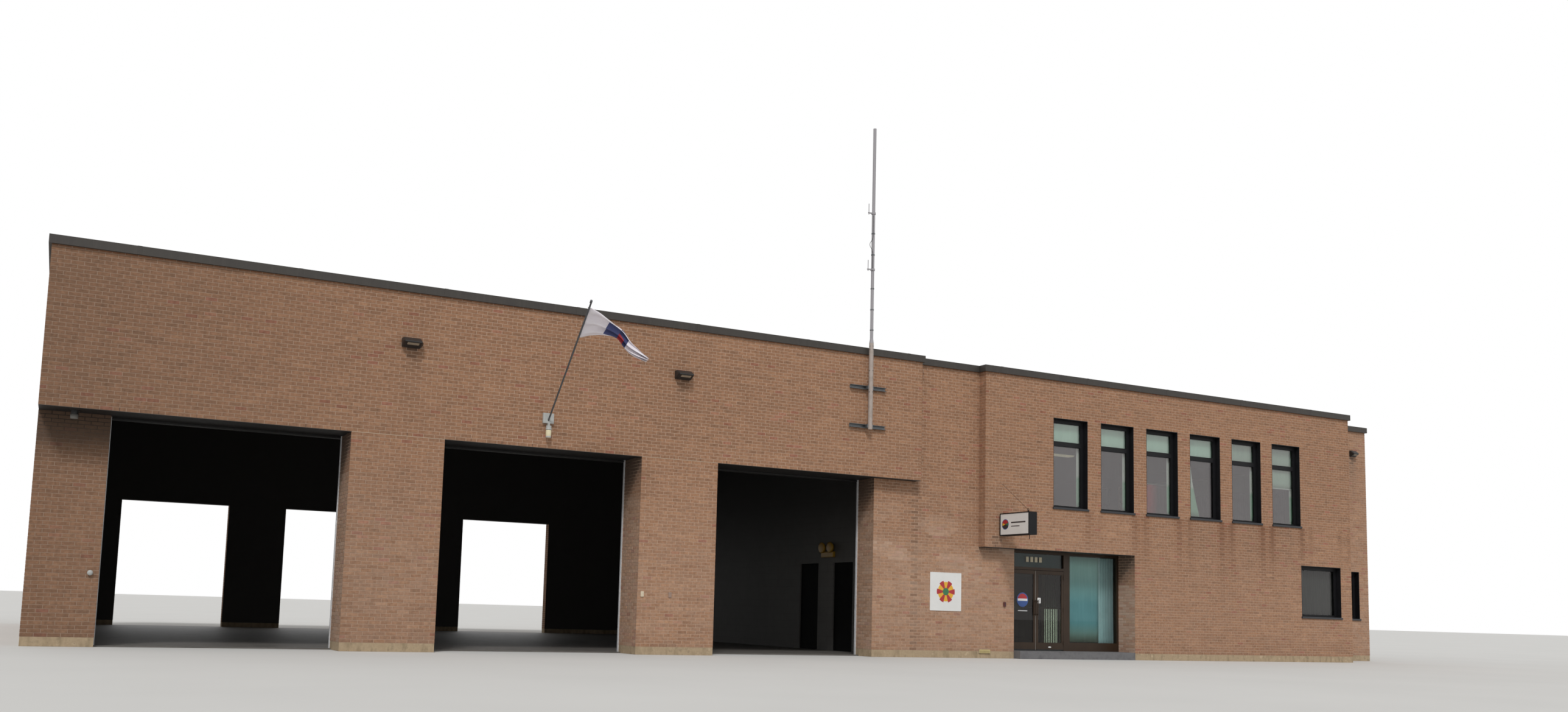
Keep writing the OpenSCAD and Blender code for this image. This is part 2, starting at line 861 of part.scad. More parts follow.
// Lower tube, tapered joint, upper tube and two clamped aerials
module mast() {
    color(GREY)
        translate([mast_x, mast_y, 0]) {
            translate([0, 0, mast_foot_z])
                cylinder(h = mast_joint_z - mast_foot_z, r = mast_r);
            translate([0, 0, mast_joint_z])
                cylinder(h = 110, r1 = mast_r, r2 = mast_upper_r);
            translate([0, 0, mast_joint_z])
                cylinder(h = mast_top_z - mast_joint_z, r = mast_upper_r);
            for (share = aerial_shares)
                translate([0, 0, mast_joint_z + share * (mast_top_z - mast_joint_z)])
                    aerial();
        }
}

// Clamp ring with an arm and an upright rod
module aerial() {
    cylinder(h = 50, r = mast_upper_r + 14);
    block([-160, -14, 12], [0, 14, 38]);
    translate([-140, 0, -20])
        cylinder(h = aerial_h, r = 9);
}

// Open channels on the wall, each with a clamp block for the mast
module mast_brackets() {
    t = 10;
    color(GREY)
        for (z = [channel_low_z, channel_high_z])
            difference() {
                union() {
                    difference() {
                        block([mast_x - channel_l / 2, -channel_d, z - channel_h / 2],
                            [mast_x + channel_l / 2, 0, z + channel_h / 2]);
                        block([mast_x - channel_l, -channel_d - 1, z - channel_h / 2 + t],
                            [mast_x + channel_l, -t, z + channel_h / 2 - t]);
                    }
                    block([mast_x - mast_r - 30, -channel_d, z - channel_h / 2],
                        [mast_x + mast_r + 30, -t, z + channel_h / 2]);
                    block([mast_x - mast_r - 30, mast_y, z - channel_h / 2],
                        [mast_x + mast_r + 30, -channel_d, z + channel_h / 2]);
                }
                translate([mast_x, mast_y, z - channel_h])
                    cylinder(h = 2 * channel_h, r = mast_r);
            }
}

place() left_pier();
place() middle_pier(bay_x[1] - pier_w);  // pier_two
place() middle_pier(bay_x[2] - pier_w);  // pier_three
place() right_pier();
place() plaque_wall();
place() recess_wall();
place() upper_front();
place() wall_returns();
place() left_side_wall();
place() rear_piers();
place() rear_header();
place() rear_office_wall();
place() right_side_wall();
place() far_right_wall();
place() office_front_upper();
place() office_front_lower();
place() bay_header();
place() soffits();
place() inner_wall();
place() inner_doors();
place() bay_floor();
place() office_floor();
place() office_upper_floor();
place() roofs();
place() base_course();
place() coping();
place() door_tracks();
place() window_frames();
place() window_glass();
place() entrance_frame();
place() entrance_glass();
place() door_left();
place() door_left_glass();
place() door_right();
place() door_right_glass();
place() plaque();
place() sign_box();
place() sign_bracket();
place() wall_lamps();
place() wall_fittings();
place() flag_bracket();
place() flag_pole();
place() flag();
place() mast();
place() mast_brackets();
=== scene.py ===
from math import cos, pi, radians, sin

import bmesh
import bpy
import numpy as np
from mathutils import Matrix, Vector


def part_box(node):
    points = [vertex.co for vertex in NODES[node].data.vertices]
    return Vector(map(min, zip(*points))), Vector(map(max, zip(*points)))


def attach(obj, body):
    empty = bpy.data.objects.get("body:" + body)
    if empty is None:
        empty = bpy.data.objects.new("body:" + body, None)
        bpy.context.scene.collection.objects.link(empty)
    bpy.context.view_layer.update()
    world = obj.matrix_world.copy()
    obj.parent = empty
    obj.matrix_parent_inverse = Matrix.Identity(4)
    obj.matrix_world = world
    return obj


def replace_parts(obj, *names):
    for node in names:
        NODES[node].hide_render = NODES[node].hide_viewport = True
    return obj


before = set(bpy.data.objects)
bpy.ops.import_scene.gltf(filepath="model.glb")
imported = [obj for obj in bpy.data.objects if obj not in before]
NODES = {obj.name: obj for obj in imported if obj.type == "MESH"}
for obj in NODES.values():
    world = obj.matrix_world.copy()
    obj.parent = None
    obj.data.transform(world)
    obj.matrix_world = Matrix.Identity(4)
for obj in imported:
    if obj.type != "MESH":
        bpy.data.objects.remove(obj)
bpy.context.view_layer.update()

CORNER = np.array([*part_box("upper_front")[0][:2], 0.0])


def span(node):
    """Lowest and highest corner of a CAD node, in millimetres from the front left corner."""
    return (np.array([list(c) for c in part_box(node)]) - CORNER) * 1000


# Plan and height lines of the building, read from the CAD nodes
BAND_END, BAND_Z, PARAPET = span("upper_front")[1][0], span("upper_front")[0][2], span("upper_front")[1][2]
BASE_H = span("base_course")[1][2]
REVEAL = span("pier_two")[1][1]
SETBACK = span("left_pier")[0][1]
BAYS = [(span("left_pier")[1][0], span("pier_two")[0][0]),
        (span("pier_two")[1][0], span("pier_three")[0][0]),
        (span("pier_three")[1][0], span("right_pier")[0][0])]
RECESS = span("recess_wall")[0][1]
OFFICE_X, OFFICE_END = span("office_front_upper")[0][0], span("office_front_upper")[1][0]
OVERHANG = span("office_front_upper")[0][2]
FAR_Y = span("far_right_wall")[0][1]
TOTAL_W, TOTAL_D = span("far_right_wall")[1][0], span("rear_header")[1][1]
REAR_HEAD = span("rear_header")[0][2]
REAR_W = 3280
REAR_BAYS = [(x, x + REAR_W) for x in (2230, 7330, 13500)]
ENT_X0, ENT_X1 = span("plaque_wall")[1][0], span("office_front_lower")[0][0]
ENT_Y = span("entrance_frame")[1][1] - 120
LAMPS, LAMP_Z, LAMP_H = (BAYS[1][0] - 802, BAYS[2][0] - 970), span("wall_lamps")[0][2], 216
FAR_LAMP_X, FAR_LAMP_UP = TOTAL_W - 640, 335
FLOOR_Z = span("office_floor")[1][2]
WALL = 300

# Windows as (left edge, sill, width, height), in the plane of their wall
WIN_W, WIN_PITCH, WIN_SILL, WIN_HEAD, LOW_SILL, LOW_W = 1218, 1698, 4018, 6504, 1306, 1768
SASH_Y, SASH_W, TRANSOM, TRANSOM_H = 150, 110, 1747, 115
OFFICE_SIDE, SLIT_W = 2308, 456


def window_row(first):
    """Six upper windows at the pitch, then a wide ground floor window under every second one."""
    upper = [(first + i * WIN_PITCH, WIN_SILL, WIN_W, WIN_HEAD - WIN_SILL) for i in range(6)]
    return upper, [(first + 2 * i * WIN_PITCH, LOW_SILL, LOW_W, OVERHANG - LOW_SILL) for i in range(3)]


FRONT_UPPER = window_row(OFFICE_X + OFFICE_SIDE)[0]
FRONT_LOW = [(OFFICE_END - 485 - LOW_W, LOW_SILL, LOW_W, OVERHANG - LOW_SILL)]
FAR_LOW = [(TOTAL_W - 438 - SLIT_W, LOW_SILL, SLIT_W, OVERHANG - LOW_SILL)]
SIDE_UPPER, SIDE_LOW = window_row(4400)
REAR_UPPER, REAR_LOW = window_row(TOTAL_W - BAND_END - OFFICE_SIDE - 5 * WIN_PITCH - WIN_W)
# Rain runs off each upper sill at these places from its window's left edge, in streaks this wide, and as
# strongly as this at the two ends of each sill
RUN_OFF, STREAK_W = (-30, WIN_W + 40), 95
STREAKS = ((0.1, 0.5), (0.15, 0.55), (0.5, 0.6), (0.3, 0.9), (0.7, 0.9), (0.8, 0.5))


# Colour and materials

def linear(code, alpha=1.0):
    """An sRGB hex colour as linear RGBA."""
    c = np.array([int(code[i:i + 2], 16) for i in (1, 3, 5)]) / 255
    return (*np.where(c <= 0.04045, c / 12.92, ((c + 0.055) / 1.055) ** 2.4), alpha)


def add(owner, kind, *inputs, stops=None, **settings):
    """Adds one shader node to a material or the world: inputs are (name, value or socket), stops are
    a ramp's (place, colour)."""
    tree = owner.node_tree
    node = tree.nodes.new("ShaderNode" + kind)
    for key, value in settings.items():
        setattr(node, key, value)
    for key, value in inputs:
        if isinstance(value, bpy.types.NodeSocket):
            tree.links.new(value, node.inputs[key])
        else:
            node.inputs[key].default_value = value
    if stops:
        elements = node.color_ramp.elements
        elements.remove(elements[1])
        elements[0].position, elements[0].color = stops[0]
        for at, colour in stops[1:]:
            elements.new(at).color = colour
    return node


def finish(name, colours, mottle, grain, rough, bump=0.0, **shader):
    """A surface whose colour wanders in patches of `mottle` mm, with a grain of `grain` mm in
    roughness and, `bump` mm deep, in relief. Plain values go straight to the shader's sockets."""
    made = bpy.data.materials.new(name)
    made.use_nodes = True
    made.node_tree.nodes.clear()
    place = add(made, "TexCoord").outputs["Object"]
    patches = add(made, "TexNoise", ("Vector", place), ("Scale", 1000 / mottle), ("Detail", 6.0),
                  ("Roughness", 0.6))
    places = 0.3 + 0.4 * np.arange(len(colours)) / (len(colours) - 1)
    colour = add(made, "ValToRGB", ("Fac", patches.outputs[0]), stops=list(zip(places, map(linear, colours))))
    fine = add(made, "TexNoise", ("Vector", place), ("Scale", 1000 / grain), ("Detail", 4.0))
    uneven = add(made, "MapRange", ("Value", fine.outputs[0]), ("From Min", 0.3), ("From Max", 0.7),
                 ("To Min", rough[0]), ("To Max", rough[1]))
    relief = add(made, "Bump", ("Height", fine.outputs[0]), ("Distance", max(bump, 0.001) / 1000))
    skin = add(made, "BsdfPrincipled", ("Base Color", colour.outputs[0]), ("Roughness", uneven.outputs[0]),
               ("Normal", relief.outputs[0]), *[(k.replace("_", " "), v) for k, v in shader.items()],
               name="skin")
    add(made, "OutputMaterial", ("Surface", skin.outputs[0]))
    return made


def times(made, *masks):
    """The product of some masks or numbers."""
    out = masks[0]
    for other in masks[1:]:
        out = add(made, "Math", (0, out), (1, other), operation="MULTIPLY").outputs[0]
    return out


def overlay(made, code, *masks):
    """Mixes a colour over what the skin shows, as far as the product of the masks says."""
    skin = made.node_tree.nodes["skin"]
    under = skin.inputs["Base Color"].links[0].from_socket
    mix = add(made, "Mix", (0, times(made, *masks)), (6, under), (7, linear(code)), data_type="RGBA")
    made.node_tree.links.new(mix.outputs[2], skin.inputs["Base Color"])


def streaks(made, width, length, low=0.5, high=0.7):
    """A mask of upright streaks: noise stretched along Z, in millimetres."""
    place = add(made, "TexCoord").outputs["Object"]
    long = add(made, "Mapping", ("Vector", place), ("Scale", (1000 / width, 1000 / width, 1000 / length)))
    noise = add(made, "TexNoise", ("Vector", long.outputs[0]), ("Scale", 1.0), ("Detail", 3.0))
    return add(made, "MapRange", ("Value", noise.outputs[0]), ("From Min", low),
               ("From Max", high)).outputs[0]


def along(made, axis, start, end):
    """A mask that rises from 0 at start to 1 at end, in millimetres from the building's corner."""
    parts = add(made, "SeparateXYZ", ("Vector", add(made, "TexCoord").outputs["Object"]))
    shift = CORNER["XYZ".index(axis)]
    return add(made, "MapRange", ("Value", parts.outputs[axis]), ("From Min", start / 1000 + shift),
               ("From Max", end / 1000 + shift)).outputs[0]


def comb(made, first, pitch, width):
    """A mask of upright bells `width` mm wide, every `pitch` mm from `first` on."""
    value = add(made, "SeparateXYZ", ("Vector", add(made, "TexCoord").outputs["Object"])).outputs["X"]
    for operation, number in (("SUBTRACT", (first - pitch / 2) / 1000 + CORNER[0]),
                              ("FLOORED_MODULO", pitch / 1000),
                              ("SUBTRACT", pitch / 2000), ("MULTIPLY", 1000 / width)):
        value = add(made, "Math", (0, value), (1, number), operation=operation).outputs[0]
    return add(made, "Math", (0, times(made, value, value, -1.0)), operation="EXPONENT").outputs[0]


def facing(made, direction):
    """A mask of the faces whose normal lies within 60 degrees of a direction."""
    normal = add(made, "TexCoord").outputs["Normal"]
    share = add(made, "VectorMath", (0, normal), (1, direction), operation="DOT_PRODUCT")
    return add(made, "Math", (0, share.outputs["Value"]), (1, 0.5), operation="GREATER_THAN").outputs[0]


# Wire-cut clay brick: matt, sandy face, brown with red and grey bricks among it. Soot and painted shade
# darken it, iron below the sills browns it, and efflorescence and painted light make some bricks paler and
# chalky.
brick = finish("wire_cut_clay_brick", ["#FFFFFF", "#C9C4BE"], 60, 4, (0.85, 0.95), bump=0.8)
skin = brick.node_tree.nodes["skin"]
body = add(brick, "ValToRGB", ("Fac", add(brick, "Attribute", attribute_name="tone").outputs["Fac"]), stops=[
    (at, linear(code)) for at, code in (
        (0.0, "#8D6952"), (0.2, "#9A7459"), (0.45, "#A67C5F"), (0.65, "#AE8364"), (0.82, "#BB8F6F"),
        (0.9, "#AA745E"), (1.0, "#9D6A52"))])
sandy = add(brick, "Mix", (0, 1.0), (6, body.outputs[0]), (7, skin.inputs["Base Color"].links[0].from_socket),
            data_type="RGBA", blend_type="MULTIPLY")
brick.node_tree.links.new(sandy.outputs[2], skin.inputs["Base Color"])
# The first overlay is soot and painted shade, the last efflorescence and painted light
for key, code in (("stain", "#43352A"), ("rust", "#83502F"), ("lime", "#C6B4A4")):
    overlay(brick, code, add(brick, "Attribute", attribute_name=key).outputs["Fac"])


# Lime and cement mortar, struck flush: pale, dry, with sand grains; paint on the room side of each wall
def masonry(name, inner, paint="#6F6D69"):
    """Mortar outside, and painted block where the face looks along `inner`; felt above the roof."""
    made = finish(name, ["#AE927C", "#B99D88", "#B29680"], 250, 2.5, (0.9, 1.0), bump=0.5)
    if inner:
        overlay(made, paint, facing(made, inner))
        overlay(made, "#3B3A39", facing(made, inner), along(made, "Z", 7099, 7101))
    return made


# Mortar of the bays: painted shade darkens it towards the left end, and paints it black in the depth of the
# doorways and on the pier top under the band
mortar = masonry("sanded_mortar", None)
overlay(mortar, "#4A3B30", along(mortar, "X", 9500, -3000), 0.55)
for drop, y0, y1 in ((800, 700, 722), (900, 280, 600)):
    overlay(mortar, "#241C17", along(mortar, "Z", BAND_Z - drop, BAND_Z), along(mortar, "Y", y0, y1), 0.9)
# Mortar of the office front: rust brown where rain runs off both ends of each upper sill
mortar_front = masonry("sanded_mortar_and_front_room_paint", (0, 1, 0))
below_sills = times(mortar_front, along(mortar_front, "Z", WIN_SILL - 1400, WIN_SILL - 200),
                    along(mortar_front, "Z", WIN_SILL + 2, WIN_SILL), along(mortar_front, "Y", 20, 10))
for edge in RUN_OFF:
    overlay(mortar_front, "#5A3F2C", comb(mortar_front, FRONT_UPPER[0][0] + edge, WIN_PITCH, STREAK_W),
            below_sills, along(mortar_front, "X", FRONT_UPPER[0][0] - 1500, FRONT_UPPER[5][0]), 0.75)
mortar_left = masonry("sanded_mortar_and_left_hall_paint", (1, 0, 0))
mortar_right = masonry("sanded_mortar_and_right_room_paint", (-1, 0, 0))
# The rear hall's paint is darker: painted shade at the back of the hall
mortar_rear = masonry("sanded_mortar_and_rear_hall_paint", (0, -1, 0), "#4A4846")

# Lime putty of the wide bed joint: pale and dry
lime_putty = finish("lime_putty_joint", ["#AF9B87", "#BBA893"], 120, 3, (0.9, 1.0), bump=0.4)

# Cast concrete, board-marked and chipped, yellowed by splash water
concrete = finish("cast_concrete", ["#918068", "#AC987C", "#A38F74", "#BBA78B"], 160, 5, (0.8, 0.95),
                  bump=1.6)
pits = add(concrete, "TexVoronoi", ("Vector", add(concrete, "TexCoord").outputs["Object"]),
           ("Scale", 1000 / 90))
chips = add(concrete, "MapRange", ("Value", pits.outputs["Distance"]), ("From Min", 0.12),
            ("From Max", 0.05), ("To Max", 0.7))
overlay(concrete, "#6B6052", chips.outputs[0])
overlay(concrete, "#77684F", streaks(concrete, 120, 400), 0.5)

# Trowelled concrete floor, dusty with tyre marks; its dark colour is partly painted shade of the hall
floor_slab = finish("trowelled_concrete_floor", ["#524F4C", "#605C57", "#494642"], 900, 12, (0.45, 0.7),
                    bump=0.4)
# Float-finished concrete of the entrance step: grey, sandy, without shine
step_concrete = finish("grey_step_concrete", ["#5B5A5C", "#6B6A6B", "#525153"], 300, 8, (0.6, 0.8), bump=0.5)
# Blockwork with satin masonry paint, 400 by 200 mm blocks just showing through, and painted shade that makes
# it darker towards the ceiling and towards the back of the hall
block_paint = finish("painted_blockwork", ["#585653", "#62605D"], 500, 5, (0.55, 0.7), bump=0.4)
parts = add(block_paint, "SeparateXYZ", ("Vector", add(block_paint, "TexCoord").outputs["Object"]))
flat = add(block_paint, "CombineXYZ", (0, parts.outputs["Y"]), (1, parts.outputs["Z"]))
courses = add(block_paint, "TexBrick", ("Vector", flat.outputs[0]), ("Scale", 1.0), ("Mortar Size", 0.006),
              ("Brick Width", 0.4), ("Row Height", 0.2), ("Color1", (0, 0, 0, 1)), ("Color2", (0, 0, 0, 1)),
              ("Mortar", (1, 1, 1, 1)))
overlay(block_paint, "#4A4845", courses.outputs["Color"], 0.5)
# Painted shade: darker high up, and further back in the hall
overlay(block_paint, "#1B1A19", along(block_paint, "Z", 2400, 4200), 0.8)
overlay(block_paint, "#1B1A19", along(block_paint, "Y", 3600, 8000), 0.6)
# Flat near-black on the inner doors, a painted shade that swallows the light, so they read as dark openings
door_shade_black = finish("inner_doors_in_painted_shade", ["#0E0E0E", "#141413"], 300, 4, (0.7, 0.8),
                    Specular_IOR_Level=0.1)
# Coil-coated steel sheet for coping: flat dark brown-grey paint, chalked by the weather
coping_sheet = finish("coil_coated_steel_sheet", ["#2E2927", "#35312C", "#322D2B"], 700, 6, (0.5, 0.65),
                      bump=0.1)
overlay(coping_sheet, "#45403C", streaks(coping_sheet, 60, 900), 0.25)
# Dark painted steel of lintels, soffit panels and header: nearly black, with a weak satin shine; under the
# band and the overhang the near-black is also painted shade
dark_steel = finish("dark_painted_steel_and_shade", ["#1A1817", "#22201F"], 600, 8, (0.5, 0.65), bump=0.15)
# Stoved black enamel on cast lamp housings: a dull sheen along the edges
lamp_steel = finish("stoved_black_enamel", ["#1B1A1A", "#242323"], 120, 4, (0.35, 0.5), bump=0.1)
# Black powder coat on window frames: fine orange peel, satin
powder = finish("black_powder_coat", ["#0D0D0F", "#131316"], 300, 1.5, (0.45, 0.6), bump=0.05,
                Specular_IOR_Level=0.25)
# Slate grey powder coat on the sill caps, a shade lighter than the frames
sill_paint = finish("grey_powder_coat", ["#232529", "#2B2D32"], 300, 1.5, (0.4, 0.5), bump=0.05)
# Bronze anodised aluminium, drawn: warm dark brown with a metallic edge
bronze = finish("bronze_anodised_aluminium", ["#33261B", "#3D2E21"], 400, 2, (0.35, 0.5), bump=0.05,
                Metallic=0.4)
# Clear anodised aluminium of rails, rods and the meeting strip: pale, softly mirroring metal
silver = finish("clear_anodised_aluminium", ["#9C9892", "#B0ACA6"], 200, 2, (0.3, 0.45), bump=0.03,
                Metallic=0.8)
# White coil-coated steel of the door tracks: bright, scuffed to grey in places
white_steel = finish("white_coil_coated_steel", ["#D4D6D8", "#C2C4C6", "#DDDFE0"], 150, 4, (0.35, 0.5),
                     bump=0.05)
# Cast acrylic and aluminium composite panel: glossy, clean
acrylic = finish("cast_white_acrylic", ["#DADAD7", "#E2E2E0"], 500, 3, (0.12, 0.2), bump=0.02)
# Moulded polycarbonate of bell, boxes and caps: pale grey, satin
housing = finish("moulded_grey_polycarbonate", ["#A4A5A2", "#B1B2AF"], 60, 2, (0.4, 0.55), bump=0.1)
# Etched opal glass of the flag lamp: creamy, with a soft highlight
cream_glass = finish("etched_cream_glass", ["#D8CDA8", "#E3DABB"], 60, 3, (0.25, 0.35))
# Gravel on bitumen felt: stones drawn 30 mm wide, coarser than real so that they show; below the roof the
# same slab is a grey painted ceiling, with painted shade making it darker over the bay hall
gravel = finish("gravel_on_felt", ["#6D6A66", "#8A8782", "#5B5956"], 350, 14, (0.85, 0.95), bump=6)
stones = add(gravel, "TexVoronoi", ("Vector", add(gravel, "TexCoord").outputs["Object"]),
             ("Scale", 1000 / 30))
overlay(gravel, "#A19D96", stones.outputs["Color"], 0.6)
overlay(gravel, "#5A5856", facing(gravel, (0, 0, -1)))
# Painted shade: the ceiling over the bay hall darker
overlay(gravel, "#2E2C2B", facing(gravel, (0, 0, -1)), along(gravel, "X", 20100, 19900))
# Hot-dip galvanised steel: zinc spangle of about 20 mm, dull grey
galvanised = finish("hot_dip_galvanised_steel", ["#606365", "#6C6F71", "#585B5D"], 90, 3, (0.4, 0.55),
                    bump=0.05, Metallic=0.7)
spangle = add(galvanised, "TexVoronoi", ("Vector", add(galvanised, "TexCoord").outputs["Object"]),
              ("Scale", 1000 / 22))
overlay(galvanised, "#8A8D8F", spangle.outputs["Color"], 0.2)
# Brushed oil paint on the mast, weathered to a warm grey, and bare weathered tube above the joint
mast_paint = finish("brushed_cream_oil_paint", ["#9C9188", "#A99D95", "#92877E"], 260, 4, (0.5, 0.65),
                    bump=0.1)
overlay(mast_paint, "#9A979A", along(mast_paint, "Z", 7795, 7800))
# Grey anodised aluminium tube of the flag pole: half mirror, half matt
pole_paint = finish("grey_anodised_aluminium", ["#55585B", "#63666A"], 200, 2, (0.35, 0.5), Metallic=0.5)


def pane(name, tint, mirror):
    """A thin sheet of glass: the share mirror + (1 - mirror) (1 - cos)^5 of the light is mirrored, and
    the rest passes straight through a tint that dries a little paler in upright rain marks."""
    made = finish(name, ["#F7EFF0", "#FFF7F8"], 1500, 400, (0.0, 0.02), Metallic=1.0)
    marks = add(made, "Mix", (0, streaks(made, 50, 900, 0.5, 0.75)), (6, linear(tint[0])),
                (7, linear(tint[1])), data_type="RGBA")
    through = add(made, "BsdfTransparent", ("Color", marks.outputs[2]))
    graze = add(made, "Math", (0, add(made, "LayerWeight", ("Blend", 0.5)).outputs["Facing"]), (1, 5.0),
                operation="POWER")
    share = add(made, "MapRange", ("Value", graze.outputs[0]), ("To Min", mirror), ("To Max", 1.0),
                name="share")
    nodes = made.node_tree.nodes
    both = add(made, "MixShader", (0, share.outputs[0]), (1, through.outputs[0]),
               (2, nodes["skin"].outputs[0]))
    made.node_tree.links.new(both.outputs[0], nodes["Material Output"].inputs["Surface"])
    return made


# Solar-control float glass: its metal oxide coat darkens the room and mirrors in grey, upstairs most
solar_glass = pane("solar_control_float_glass", ("#E4E8E6", "#EAEDEB"), 0.1)
upstairs = add(solar_glass, "MapRange", ("Value", along(solar_glass, "Z", OVERHANG, WIN_SILL)),
               ("To Min", 0.03), ("To Max", 0.1))
solar_glass.node_tree.links.new(upstairs.outputs[0], solar_glass.node_tree.nodes["share"].inputs["To Min"])
# Grey float glass of the doors: clean, dark by the room behind it
door_glass = pane("grey_float_glass", ("#CCD0C8", "#D4D8D0"), 0.028)
# Clear float glass of the big window, uncoated: a faint green tint and hardly a mirror
big_glass = pane("clear_float_glass", ("#DCEAE8", "#E4F0EE"), 0.022)
# Woven polyester of the blinds, pale green: matt and evenly lit, a shade darker in the last two windows
blind = finish("pale_green_woven_polyester", ["#CDEDDB", "#D7F6E5"], 900, 3, (0.8, 0.9), bump=0.2)
overlay(blind, "#B9CBBC", along(blind, "X", FRONT_UPPER[4][0] - 200, FRONT_UPPER[4][0]))
# Net curtain: knitted, grey as painted shade of the room behind it, and darker on the ground floor as painted
# shade
net = finish("grey_knitted_net", ["#6F6A6B", "#7D7879", "#666263"], 700, 4, (0.85, 0.95), bump=0.2)
# Painted shade: darker on the ground floor
overlay(net, "#454341", along(net, "Z", WIN_SILL, OVERHANG))
# Plain woven cotton of the drapes: soft upright folds, matt, greener in their lower half
pale_drape = finish("plain_woven_cotton", ["#D6D8D0", "#E0E1DB"], 300, 3, (0.85, 0.95), bump=0.2)
overlay(pale_drape, "#9CC3A9", along(pale_drape, "Z", WIN_SILL + 1000, WIN_SILL + 900))
# Dyed, woven wool of the half curtain: deep red folds, painted nearly black away from the light as painted
# shade
dark_drape = finish("dark_red_woven_wool", ["#8A1519", "#9C1E22", "#6E1013"], 220, 3, (0.85, 0.95), bump=0.2)
# Painted shade on the side away from the light
overlay(dark_drape, "#2A0C0E", along(dark_drape, "X", FRONT_UPPER[2][0] + 380, FRONT_UPPER[2][0] + 700))
# Emulsion paint on plastered window boards: chalky grey
plaster = finish("painted_plaster", ["#8F8B84", "#9A968F"], 800, 5, (0.8, 0.9), bump=0.2)
# Teal polyester blind: its paler top is a painted reflection, and it is earthy towards the dusty foot
teal_blind = finish("teal_woven_polyester", ["#75A3AD", "#8AB6C2"], 900, 4, (0.8, 0.9), bump=0.2)
# Painted reflection: paler towards the top
overlay(teal_blind, "#E6F0EC", along(teal_blind, "Z", 1500, 2700))
overlay(teal_blind, "#B7A184", along(teal_blind, "Z", 1000, 300))
# Grey woven cotton in deep folds, darker towards the wall as painted shade; a weak glow paints a little of
# the room's light coming through
grey_cloth = finish("grey_woven_cotton", ["#C0C0C7", "#D4D5DC"], 300, 3, (0.8, 0.9), bump=0.2,
                    Emission_Color=linear("#B2B8B6"), Emission_Strength=0.1)
# Painted shade towards the wall
overlay(grey_cloth, "#55505A", along(grey_cloth, "X", ENT_X1 - 520, ENT_X1 + 60))
# Calendered vinyl slats, pale green; the lower ones glow with painted light that stands for daylight from a
# window behind them
slat_vinyl = finish("calendered_vinyl", ["#DDE3DD", "#E6EBE6"], 300, 3, (0.6, 0.7))
lit_vinyl = finish("calendered_vinyl_with_painted_glow", ["#DDE3DD", "#E6EBE6"], 300, 3, (0.6, 0.7),
                   Emission_Color=linear("#CAD8CA"), Emission_Strength=2.1)
# Opal acrylic of the batten lamp: a lit, cream diffuser
opal = finish("lit_opal_acrylic", ["#E8DDBE", "#F0E6CB"], 200, 3, (0.4, 0.5),
              Emission_Color=linear("#F0E2C0"), Emission_Strength=0.3)
# Stoved yellow enamel of the hall lamp: dulled by soot
yellow_enamel = finish("stoved_yellow_enamel", ["#8F6C17", "#9B771F"], 60, 3, (0.3, 0.4))
# Extruded black rubber of seals and strips: no shine
rubber = finish("extruded_black_rubber", ["#121212", "#191919"], 80, 2, (0.6, 0.75))
# Vitreous enamel of the tiles over the doors: ivory, with a soft gloss
tile_enamel = finish("ivory_vitreous_enamel", ["#B8AE92", "#C4BA9E"], 60, 3, (0.3, 0.4))
# Pressed prismatic glass of the wall lamps: unlit, so it only shows a dull, dusty cream
lamp_glass = finish("pressed_prismatic_glass", ["#8C7F6E", "#9B8E7C"], 50, 8, (0.15, 0.3), bump=1.0)
# Sprayed enamel of the two outlet lids: one cream, one painted over in the colour of the wall
lid_enamel = {word: finish("sprayed_lid_enamel_" + word, colours, 60, 2, (0.4, 0.5)) for word, colours in (
    ("left", ["#C9BBA2", "#D6C9B2"]), ("right", ["#8F796C", "#9C8578"]))}
# Sprayed dark red enamel of the intercom: clean, half gloss
red_enamel = finish("sprayed_dark_red_enamel", ["#4E1E20", "#5A2426"], 60, 2, (0.3, 0.4))
# Injection-moulded vinyl of the low vent, yellowed by the sun
vent_vinyl = finish("moulded_yellowed_vinyl", ["#B9A978", "#C5B684"], 80, 3, (0.5, 0.6))
# Die-cast aluminium lamp drum, darkened to a dull grey as painted shade under the band, without shine
shaded_casting = finish("die_cast_aluminium_in_painted_shade", ["#6A6762", "#77746F"], 60, 2, (0.5, 0.6))
# Cut vinyl film of the badges: flat clear colours with a weak gloss
vinyl = {key: finish("cut_vinyl_film_" + key, [a, b], 200, 2, (0.3, 0.4)) for key, a, b in (
    ("red", "#A3262C", "#AE2E33"), ("yellow", "#D9A429", "#E1AE35"), ("green", "#2F6B45", "#37764E"),
    ("blue", "#2C4A86", "#345392"), ("white", "#DADCDC", "#E2E4E4"), ("ink", "#2C2A2C", "#353335"))}
# Woven polyester flag cloth: white with printed fields, thin, with a faint sheen on its folds
polyester = finish("woven_polyester_flag_cloth", ["#E2DCE4", "#EDE7EC", "#E7E0E8"], 300, 2, (0.7, 0.8),
                   bump=0.1, Sheen_Weight=0.2)


# Mesh helpers

